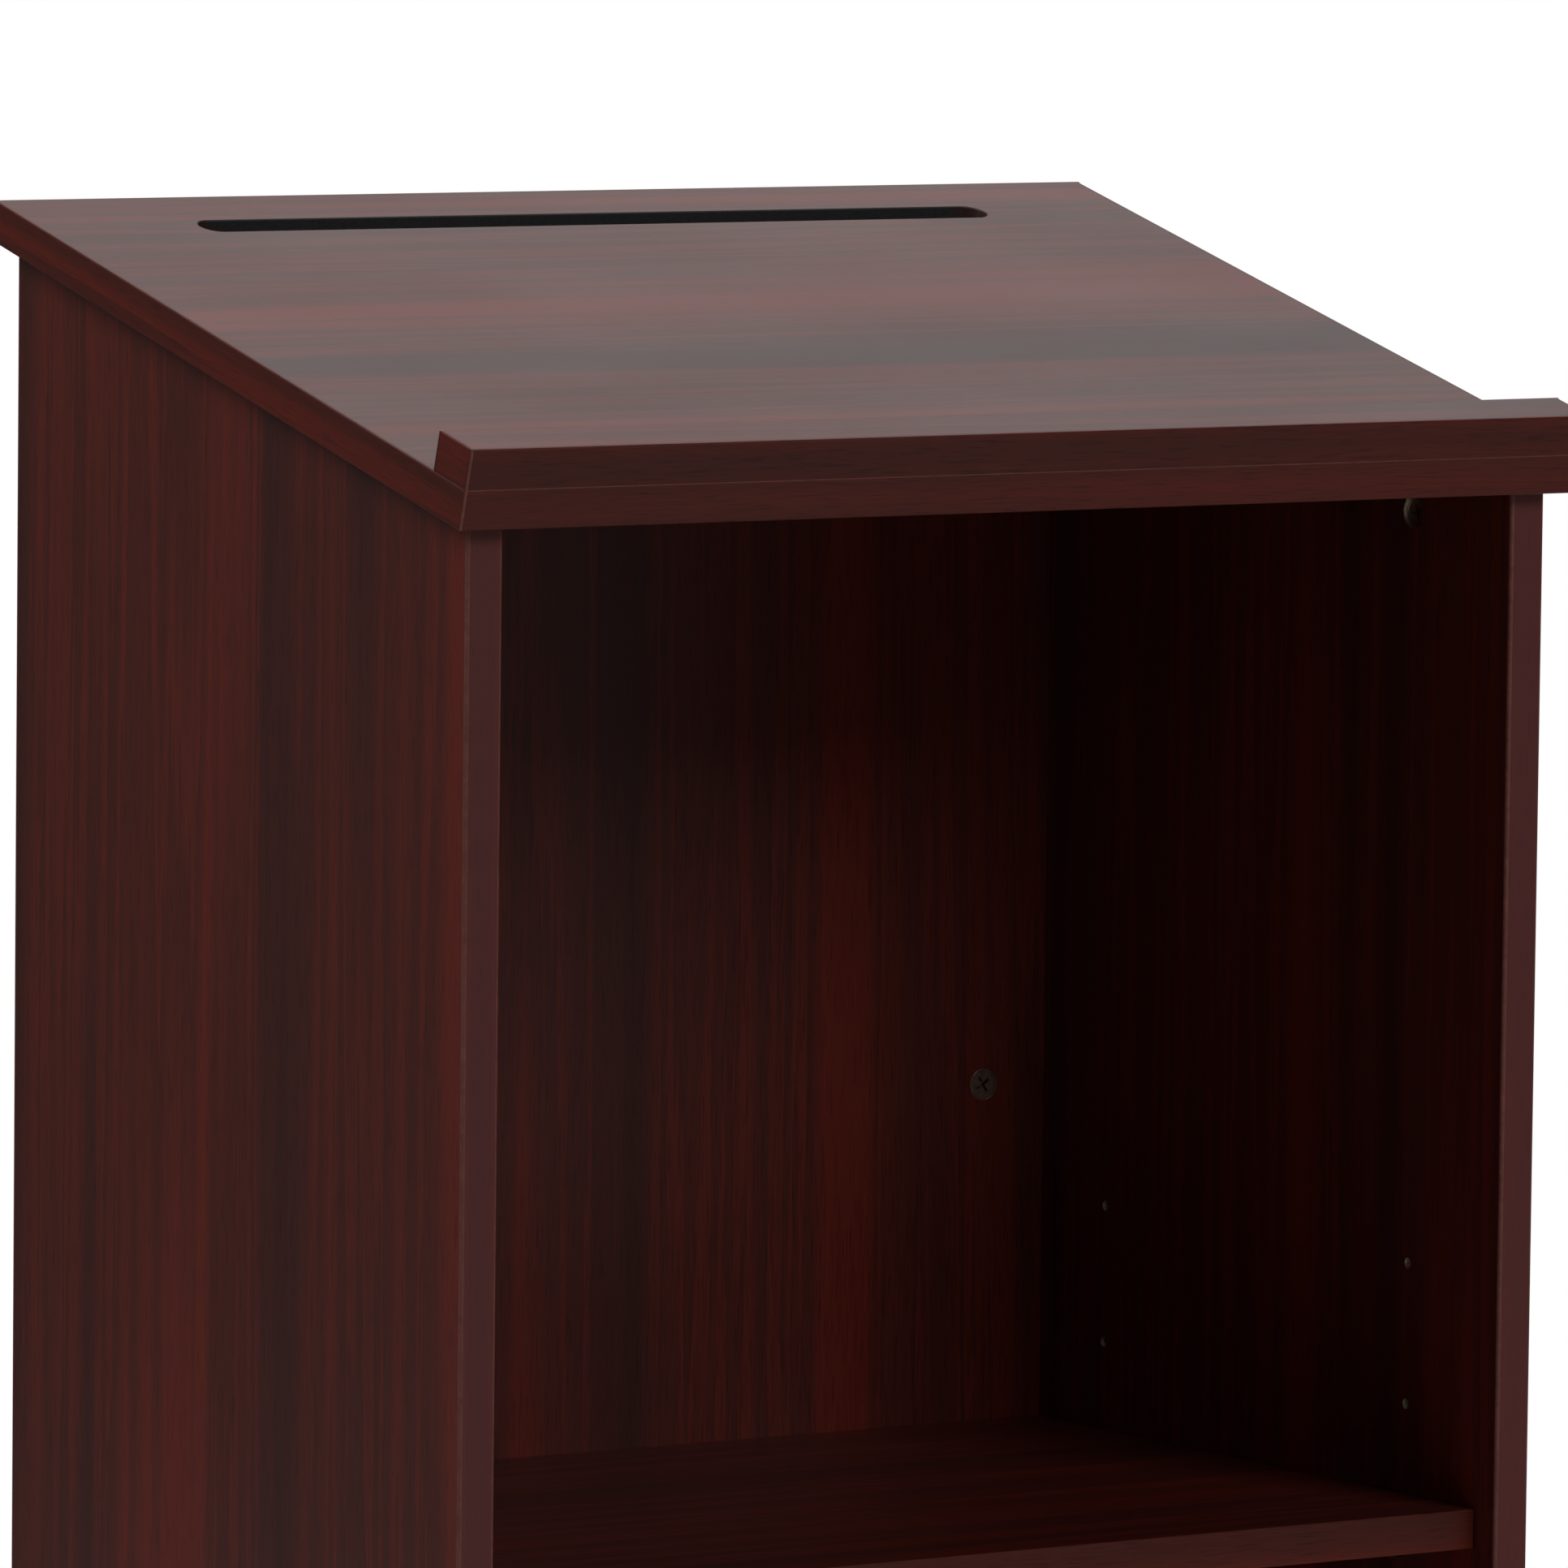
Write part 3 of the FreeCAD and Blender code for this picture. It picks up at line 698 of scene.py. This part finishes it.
def useMaterials(piece, *materials):
    piece.data.materials.clear()
    for material in materials:
        piece.data.materials.append(material)


# boards that keep their CAD shape
for node, laminate in (("left_side_panel", leftLaminate), ("right_side_panel", rightLaminate),
                       ("audience_panel", audienceLaminate), ("bottom_shelf", bottomLaminate),
                       ("kick_board", kickLaminate), ("book_ledge", ledgeLaminate)):
    useMaterials(frame["nodes"][node], laminate)

# edge bands: strips with their outer corners milled round
bandLook = {"cornerRound": 0.8 * mm, "uprightRound": 1.5 * mm, "cornerSteps": 4,
            "jointRound": 0.25 * mm, "jointSteps": 2}


def makeBand(name, node, low, high, outward, wraps, place, face, cornerRound, slicedAt=None,
             gluedAt=None):
    # outward is (axis, sign); a band that wraps is rounded round all four sides of its face, save
    # along the height where it is glued to its neighbour, which is only broken a little
    axis, sign = outward
    piece = addBlock(name, low, high)
    if slicedAt:
        sliceOff(piece, *slicedAt)
    useMaterials(piece, face, bandTrimAndHighlight)
    size = Vector(high) - Vector(low)
    longest = max(range(3), key=lambda index: size[index])
    outer = (high if sign > 0 else low)[axis]

    def within(reach, first, second):
        return max(abs(first[axis] - outer), abs(second[axis] - outer)) < reach + nearly

    def glued(first, second):
        return max(abs(first.z - gluedAt), abs(second.z - gluedAt)) < nearly

    def onCorner(first, second):
        if not within(0, first, second) or (gluedAt and glued(first, second)):
            return False
        return wraps or abs(first[longest] - second[longest]) > boardThick

    def onJoint(first, second):
        return within(cornerRound, first, second) and glued(first, second)

    openUp(piece, "EDGE", onCorner)
    bpy.ops.mesh.bevel(offset=cornerRound, segments=bandLook["cornerSteps"],
                       profile=0.5, affect="EDGES", material=1)
    closeUp()
    if face is not bandUpright:
        # only the short corners are trimmed down to the paler plastic, which also carries a painted highlight
        for polygon in piece.data.polygons:
            runsAlong = abs(polygon.normal[longest]) < 0.05
            if runsAlong:
                polygon.material_index = 0
    if gluedAt:
        openUp(piece, "EDGE", onJoint)
        bpy.ops.mesh.bevel(offset=bandLook["jointRound"], segments=bandLook["jointSteps"],
                           profile=0.5, affect="EDGES", material=1)
        closeUp()
    settle(piece, place)
    body = "adjustable_shelf" if node == "shelf_front_band" else "cabinet"
    return finishPiece(piece, body, [node])


def bandsRoundBoard(kind, depth, bottom, top):
    half = topWidth / 2
    band = bandThick
    strips = {
        "front": ((-half, 0, bottom), (half, band, top), (1, -1)),
        "rear": ((-half, depth - band, bottom), (half, depth, top), (1, 1)),
        "left": ((-half, band, bottom), (-half + band, depth - band, top), (0, -1)),
        "right": ((half - band, band, bottom), (half, depth - band, top), (0, 1)),
    }
    faces = {"top": (bandAcross, bandUpSlope), "ledge": (ledgeBandAcross, ledgeBandUpSlope)}
    for side, (low, high, outward) in strips.items():
        wraps = side in ("front", "rear")
        makeBand(kind + side.capitalize() + "Band", kind + "_" + side + "_band", low, high, outward,
                 wraps, slopePlace, faces[kind][not wraps], bandLook["cornerRound"],
                 gluedAt=boardThick if kind == "ledge" or side == "front" else None)


bandsRoundBoard("top", topLength, 0, boardThick)
bandsRoundBoard("ledge", ledgeDepth, boardThick, boardThick + ledgeHeight)

for side in ("left", "right"):
    for end, sign in (("front", -1), ("rear", 1)):
        node = side + "_side_" + end + "_band"
        low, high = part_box(node)
        makeBand(side + end.capitalize() + "Band", node, low, high, (1, sign), False,
                 Matrix.Identity(4), bandUpright, bandLook["uprightRound"], (lowEdge, offSlope))

for name, node in (("shelfBand", "shelf_front_band"), ("bottomShelfBand", "bottom_shelf_band")):
    makeBand(name, node, *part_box(node), (1, -1), False, Matrix.Identity(4), bandAcross,
             bandLook["cornerRound"])
print("edge bands are on")


# cam locks: where each sits, and the way its bolt comes in
camLook = {
    "radius": 7.4, "height": 12.4, "axisDepth": 8.5, "rim": 0.75, "sunk": 0.3, "round": 0.4,
    "chamber": 5.4, "roof": 5.0, "slotHalf": 2.1, "slotEnd": 20, "entryHalf": 31,
    "crossLength": 8.6, "crossWidth": 1.5, "crossDepth": 3.0, "crossTurn": 32, "crossTaper": 0.72,
    "arrowAt": 5.75, "arrowSize": 0.85, "arrowDepth": 0.35, "groove": 0.2, "foot": 0.3,
    "reach": 34.0, "steps": 64,
}


def camReach(body):
    # from the mating face towards the cam's middle
    if body.startswith("top"):
        return -offSlope
    return Vector((1 if "_left_" in body else -1, 0, 0))


def camSetting(body):
    joint = joints[body]
    return Vector(joint["pos_m"]), camReach(body), Vector(joint["axis"])


def arc(centreRadius, centreHeight, radius, start, end, steps):
    angles = [math.radians(start + (end - start) * step / steps) for step in range(steps + 1)]
    return [(centreRadius + radius * math.cos(turn), centreHeight + radius * math.sin(turn))
            for turn in angles]


def inMetres(outline):
    return [(radius * mm, height * mm) for radius, height in outline]


def camSector(name, start, sweep, bottom, top, reach):
    # a cylinder cut down to the sweep that begins at an angle; half of one takes a single cut
    piece = addRod(name, reach, bottom, top)
    cuts = ((start, -1), (start + sweep, 1))
    for turn, beside in cuts[:1] if sweep == 180 else cuts:
        outward = Vector((-math.sin(math.radians(turn)), math.cos(math.radians(turn)), 0)) * beside
        sliceOff(piece, (0, 0, 0), outward)
    return piece


def makeCam():
    look = camLook
    edge, top = look["radius"], look["height"]
    outline = [(0, -look["sunk"]), (edge - look["rim"] - look["groove"], -look["sunk"]),
               (edge - look["rim"], 0)]
    outline += arc(edge - look["round"], -look["round"], look["round"], 90, 0, 4)
    outline += [(edge, -top + look["foot"]), (edge - look["foot"], -top), (look["chamber"], -top)]
    outline += [(look["chamber"], -look["roof"]), (0, -look["roof"])]
    cam = turnOnLathe("camBlank", inMetres(outline), look["steps"])
    far = (edge + 1.0) * mm
    middle = -look["axisDepth"]
    slotBottom, slotTop = (middle - look["slotHalf"]) * mm, (middle + look["slotHalf"]) * mm
    # the cuts end a little apart, so that none of their faces coincide
    cutters = [camSector("slotNear", -180, 180, slotBottom, slotTop, far),
               camSector("slotFar", -180 + look["slotEnd"], 180, slotBottom + nearly,
                         slotTop - nearly, far),
               camSector("entry", 180 - look["entryHalf"], 2 * look["entryHalf"], -(top + 1) * mm,
                         -look["roof"] * mm - nearly, far)]
    halfLength, halfWidth = look["crossLength"] / 2, look["crossWidth"] / 2
    for quarter in (0, 90):
        blade = addBlock("blade", Vector((-halfLength, -halfWidth, -look["crossDepth"])) * mm,
                         Vector((halfLength, halfWidth, 1)) * mm)
        openUp(blade, "FACE", lambda centre, normal: normal.z < -0.5)
        bpy.ops.transform.resize(value=(look["crossTaper"], look["crossTaper"], 1),
                                 center_override=(0, 0, -look["crossDepth"] * mm))
        closeUp()
        settle(blade, Matrix.Rotation(math.radians(look["crossTurn"] + quarter), 4, "Z"))
        cutters.append(blade)
    arrow = addRod("arrow", look["arrowSize"] * mm, -(look["sunk"] + look["arrowDepth"]) * mm, mm, 3)
    pointing = Matrix.Rotation(-math.pi / 2, 4, "Z")
    settle(arrow, Matrix.Translation((look["arrowAt"] * mm, 0, 0)) @ pointing)
    cutters.append(arrow)
    for cutter in cutters:
        cutWith(cam, [cutter])
    useMaterials(cam, camZinc)
    return cam


camBlank = makeCam()
for body in sorted(joints):
    if "_cam_" not in body:
        continue
    centre, reach, mouth = camSetting(body)
    place = standing(centre + mouth * camLook["axisDepth"] * mm, mouth, -reach)
    words = body.split("_")
    name = words[0] + "Cam" + words[2].capitalize() + words[3]
    finishPiece(copyTo(camBlank, name, place), body, [body])
bpy.data.objects.remove(camBlank)
print("cam locks are in")


# cam bolts: thread in the mating board, head in the cam
boltLook = {"root": 2.25, "thread": 3.0, "threadLength": 10.5, "pitch": 1.5, "shaft": 3.5,
            "shaftEnd": 25.5, "neck": 1.9, "head": 3.2, "headStart": 31.0, "headEnd": 33.5}


def threadRings(start, end, pitch, root, crest, tip):
    # a saw-tooth outline, one tooth to a pitch, that swells from the tip
    outline = []
    count = int((end - start) / pitch)
    for index in range(count):
        height = start + index * pitch
        swell = min(1.0, 0.55 + 0.25 * index) if tip else 1.0
        outline += [(root * swell, height), (crest * swell, height + 0.42 * pitch),
                    (crest * swell, height + 0.58 * pitch)]
    return outline


def makeBolt():
    look = boltLook
    outline = [(0, -look["threadLength"]), (1.2, -look["threadLength"])]
    outline += threadRings(-look["threadLength"] + 0.3, -0.3, look["pitch"], look["root"],
                           look["thread"], True)
    outline += [(look["root"], 0), (look["shaft"] - 0.3, 0), (look["shaft"], 0.3),
                (look["shaft"], look["shaftEnd"]), (look["neck"], look["shaftEnd"] + 0.8),
                (look["neck"], look["headStart"] - 0.6), (look["head"], look["headStart"])]
    outline += arc(look["head"] - 0.7, look["headEnd"] - 0.7, 0.7, 0, 90, 4)
    outline.append((0, look["headEnd"]))
    bolt = turnOnLathe("boltBlank", inMetres(outline), 32)
    useMaterials(bolt, boltSteel)
    return bolt


boltBlank = makeBolt()
dowelLook = {"radius": 4.0, "inFace": 11.0, "inEdge": 23.0, "spare": 0.5, "chamfer": 1.0,
             "flutes": 12, "fluteDepth": 0.35, "fromCam": 32.0, "belowKickCam": 24.0}


def makeDowel():
    look = dowelLook
    corners = look["flutes"] * 4
    bottom, top = -(look["inFace"] - look["spare"]) * mm, (look["inEdge"] - look["spare"]) * mm
    dowel = addRod("dowelBlank", look["radius"] * mm, bottom, top, corners)
    openUp(dowel, "EDGE", lambda first, second: abs(first.z - second.z) < nearly)
    bpy.ops.mesh.bevel(offset=look["chamfer"] * mm, segments=1, affect="EDGES")
    closeUp()

    def inFlute(point):
        step = math.atan2(point.y, point.x) / (2 * math.pi) * corners
        onWall = math.hypot(point.x, point.y) > (look["radius"] - 0.2) * mm
        return onWall and round(step) % 4 == 0

    openUp(dowel, "VERT", inFlute)
    narrow = 1 - look["fluteDepth"] / look["radius"]
    bpy.ops.transform.resize(value=(narrow, narrow, 1), center_override=(0, 0, 0))
    closeUp()
    useMaterials(dowel, beech)
    return dowel


dowelBlank = makeDowel()
for group in ("top", "panel", "bottom", "kick"):
    bolts, dowels = [], []
    for body in sorted(joints):
        if not body.startswith(group + "_cam_"):
            continue
        centre, reach, mouth = camSetting(body)
        side = -1 if "_left_" in body else 1
        foot = centre - reach * camLook["reach"] * mm
        bolts.append(copyTo(boltBlank, "bolt", standing(foot, reach, mouth)))
        gap = dowelLook["fromCam"] * mm
        if group == "top":
            inward = 1 if (foot - lowEdge).dot(upSlope) < topLength / 2 else -1
            beside = foot + upSlope * inward * gap
            beside.x = side * (outerHalf - boardThick / 2)
        elif group == "panel":
            beside = foot + Vector(upright) * gap
        elif group == "bottom":
            inward = 1 if foot.y < (cabinetFront + cabinetRear) / 2 else -1
            beside = foot + Vector(deep) * inward * gap
        else:
            beside = foot - Vector(upright) * dowelLook["belowKickCam"] * mm
        dowels.append(copyTo(dowelBlank, "dowel", standing(beside, reach)))
    finishPiece(joinUp(bolts, group + "CamBolts"), "cabinet", [group + "_cam_bolts"])
    finishPiece(joinUp(dowels, group + "Dowels"), "cabinet", [group + "_dowels"])
bpy.data.objects.remove(boltBlank)
bpy.data.objects.remove(dowelBlank)
print("bolts and dowels are in")


# screws up through the top into the book ledge
screwLook = {"count": 5, "fromEnd": 60.0, "length": 30.0, "radius": 2.0, "root": 1.35, "head": 4.0,
             "headDepth": 2.6, "tip": 5.0, "pitch": 1.6, "cross": 4.6, "crossWidth": 0.9,
             "crossDepth": 1.8, "holeSpare": 0.1}


def screwSpots():
    spread = topWidth / 2 - screwLook["fromEnd"] * mm
    step = 2 * spread / (screwLook["count"] - 1)
    return [Vector((-spread + step * index, ledgeDepth / 2, 0)) for index in range(screwLook["count"])]


def makeScrew():
    look = screwLook
    neckEnd = look["headDepth"] + 5.0
    outline = [(0, 0), (look["head"] - 0.15, 0), (look["head"], 0.15),
               (look["radius"], look["headDepth"]),
               (look["radius"] * 0.85, look["headDepth"] + 0.5), (look["radius"] * 0.85, neckEnd)]
    outline += threadRings(neckEnd, look["length"] - look["tip"], look["pitch"], look["root"],
                           look["radius"], False)
    outline += [(look["root"], look["length"] - look["tip"]), (0, look["length"])]
    screw = turnOnLathe("screwBlank", inMetres(outline), 24)
    half = look["cross"] / 2
    for length, width in ((half, look["crossWidth"] / 2), (look["crossWidth"] / 2, half)):
        blade = addBlock("blade", Vector((-length, -width, -1)) * mm,
                         Vector((length, width, look["crossDepth"])) * mm)
        cutWith(screw, [blade])
    useMaterials(screw, boltSteel)
    return screw


screwBlank = makeScrew()
screws = [copyTo(screwBlank, "screw", slopePlace @ Matrix.Translation(spot)) for spot in screwSpots()]
finishPiece(joinUp(screws, "ledgeScrews"), "cabinet", ["ledge_screws"])
bpy.data.objects.remove(screwBlank)


# reading top: board with the pen groove and the holes under it
topLook = {"glueLine": 0.2, "glueMargin": 0.3, "lipRound": 0.7, "lipSteps": 4, "floorRound": 1.5,
           "grooveFromRear": 43.7, "grooveLength": 422.0, "grooveWidth": 16.5, "grooveDepth": 8.0,
           "boltHole": 3.05, "boltDepth": 11.0, "dowelHole": 4.05, "dowelDepth": 11.0}


def slopeCoordinates(point):
    return slopePlace.inverted() @ Vector(point)


def makeTop():
    look = topLook
    band = bandThick
    board = addBlock("readingTop", (-topWidth / 2 + band, band, 0),
                     (topWidth / 2 - band, topLength - band, boardThick))
    useMaterials(board, topLaminate, grooveBlack)
    holes = [addBlock("glueSeat", (-topWidth, -mm, boardThick - look["glueLine"] * mm),
                      (topWidth, ledgeDepth + look["glueMargin"] * mm, boardThick + mm))]
    for body in sorted(joints):
        if not body.startswith("top_cam_"):
            continue
        spot = slopeCoordinates(camSetting(body)[0])
        side = -1 if "_left_" in body else 1
        inward = 1 if spot.y < topLength / 2 else -1
        holes.append(addRod("hole", look["boltHole"] * mm, -mm, look["boltDepth"] * mm, 32, spot[:2]))
        beside = (side * (outerHalf - boardThick / 2), spot.y + inward * dowelLook["fromCam"] * mm)
        holes.append(addRod("hole", look["dowelHole"] * mm, -mm, look["dowelDepth"] * mm, 32, beside))
    for spot in screwSpots():
        spare = screwLook["holeSpare"]
        outline = [(0, -0.2), (screwLook["head"] + spare + 0.2, -0.2),
                   (screwLook["radius"] + spare, screwLook["headDepth"]),
                   (screwLook["radius"] + spare, screwLook["length"]), (0, screwLook["length"])]
        hole = turnOnLathe("hole", inMetres(outline), 32)
        settle(hole, Matrix.Translation(spot))
        holes.append(hole)
    cutWith(board, holes)
    return board


def cutGroove(board, middle, halfLength):
    look = topLook
    radius = look["grooveWidth"] / 2 * mm
    floor = boardThick - look["grooveDepth"] * mm
    cutter = addRod("grooveCutter", radius, floor, boardThick + 2 * mm, 64)
    for sign in (-1, 1):
        openUp(cutter, "VERT", lambda point: point.x * sign > nearly)
        bpy.ops.transform.translate(value=(sign * (halfLength - radius), 0, 0))
        closeUp()
    openUp(cutter, "EDGE", lambda first, second: max(first.z, second.z) < floor + nearly)
    bpy.ops.mesh.bevel(offset=look["floorRound"] * mm, segments=3, affect="EDGES")
    closeUp()
    settle(cutter, Matrix.Translation((0, middle, 0)))
    useMaterials(cutter, topLaminate, grooveBlack)
    for face in cutter.data.polygons:
        face.material_index = 1
    cutWith(board, [cutter])
    reach = halfLength + mm
    half = radius + mm

    def onLip(first, second):
        inside = all(abs(point.x) < reach and abs(point.y - middle) < half
                     for point in (first, second))
        return inside and min(first.z, second.z) > boardThick - nearly

    openUp(board, "EDGE", onLip)
    bpy.ops.mesh.bevel(offset=look["lipRound"] * mm, segments=look["lipSteps"], profile=0.5,
                       affect="EDGES", material=1)
    closeUp()


grooveHalf = topLook["grooveLength"] / 2 * mm
grooveMiddle = topLength - topLook["grooveFromRear"] * mm
grooveBlack = groovePaint(tuple(slopePlace @ Vector((0, grooveMiddle, boardThick))),
                          layOf(across, offSlope), grooveHalf)
readingTop = makeTop()
cutGroove(readingTop, grooveMiddle, grooveHalf)
settle(readingTop, slopePlace)
finishPiece(readingTop, "cabinet", ["reading_top"])
print("reading top is on")


# adjustable shelf and its four pins
shelfLook = {"arris": 0.25, "steps": 2}
shelf = addBlock("adjustableShelf", *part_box("adjustable_shelf"))
useMaterials(shelf, shelfLaminate)
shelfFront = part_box("adjustable_shelf")[0].y
openUp(shelf, "EDGE", lambda first, second: max(first.y, second.y) > shelfFront + mm)
bpy.ops.mesh.bevel(offset=shelfLook["arris"] * mm, segments=shelfLook["steps"], affect="EDGES")
closeUp()
finishPiece(shelf, "adjustable_shelf", ["adjustable_shelf"])

pinLook = {"shank": 2.45, "shankLength": 9.0, "head": 5.7, "headLength": 7.0, "seat": 4.9,
           "round": 0.6, "collar": 0.8, "collarDepth": 0.35}


def makePin():
    look = pinLook
    shank, head, length = look["shank"], look["head"], look["headLength"]
    outline = [(0, -look["shankLength"]), (shank - look["round"], -look["shankLength"]),
               (shank, -look["shankLength"] + look["round"]), (shank, -0.1), (shank + 0.1, 0),
               (head - 0.3, 0), (head, 0.3), (head, look["collar"]),
               (head - look["collarDepth"], look["collar"] + 0.3),
               (head - look["collarDepth"], look["collar"] + 0.9), (head, look["collar"] + 1.2)]
    outline += arc(head - look["round"], length - look["round"], look["round"], 0, 90, 5)
    outline.append((0, length))
    pin = turnOnLathe("pinBlank", inMetres(outline), 48)
    sliceOff(pin, (look["seat"] * mm, 0, 0), (1, 0, 0))
    useMaterials(pin, pinNickel)
    return pin


pinBlank = makePin()
for side, sign in (("left", -1), ("right", 1)):
    for end in ("front", "rear"):
        body = "shelf_pin_" + side + "_" + end
        low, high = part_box(body)
        point = Vector((sign * innerHalf, (low.y + high.y) / 2, low.z + pinLook["head"] * mm))
        place = standing(point, Vector(across) * -sign, upright)
        finishPiece(copyTo(pinBlank, "shelfPin" + side.capitalize() + end.capitalize(), place),
                    body, [body])
bpy.data.objects.remove(pinBlank)
print("shelf and pins are in")


# plastic glides moulded over their nails
glideLook = {"radius": 8.5, "foot": 6.5, "bevel": 2.0, "height": 5.0, "nail": 1.5, "nailHead": 3.5,
             "headBottom": 1.5, "headTop": 3.5, "nailTop": 20.5, "nailTip": 2.0, "fromEnd": 30.0}


def makeGlides():
    look = glideLook
    outline = [(0, 0)] + arc(look["foot"] - 0.8, 0.8, 0.8, -90, -45, 3)
    outline += [(look["radius"], look["bevel"]), (look["radius"], look["height"] - 0.3),
                (look["radius"] - 0.3, look["height"]), (look["nail"], look["height"]),
                (look["nail"], look["headTop"]), (look["nailHead"], look["headTop"]),
                (look["nailHead"], look["headBottom"]), (0, look["headBottom"])]
    glide = turnOnLathe("glideBlank", inMetres(outline), 40)
    useMaterials(glide, glidePlastic)
    outline = [(0, look["headBottom"]), (look["nailHead"], look["headBottom"]),
               (look["nailHead"], look["headTop"]), (look["nail"], look["headTop"]),
               (look["nail"], look["nailTop"] - look["nailTip"]), (0, look["nailTop"])]
    nail = turnOnLathe("nailBlank", inMetres(outline), 24)
    useMaterials(nail, boltSteel)
    glides, nails = [], []
    for x in (-1, 1):
        for y in (cabinetFront + look["fromEnd"] * mm, cabinetRear - look["fromEnd"] * mm):
            place = Matrix.Translation((x * (outerHalf - boardThick / 2), y, 0))
            glides.append(copyTo(glide, "glide", place))
            nails.append(copyTo(nail, "nail", place))
    bpy.data.objects.remove(glide)
    bpy.data.objects.remove(nail)
    finishPiece(joinUp(glides, "floorGlides"), "cabinet", ["floor_glides"])
    finishPiece(joinUp(nails, "glideNails"), "cabinet", ["glide_nails"])


makeGlides()
print("glides are on")
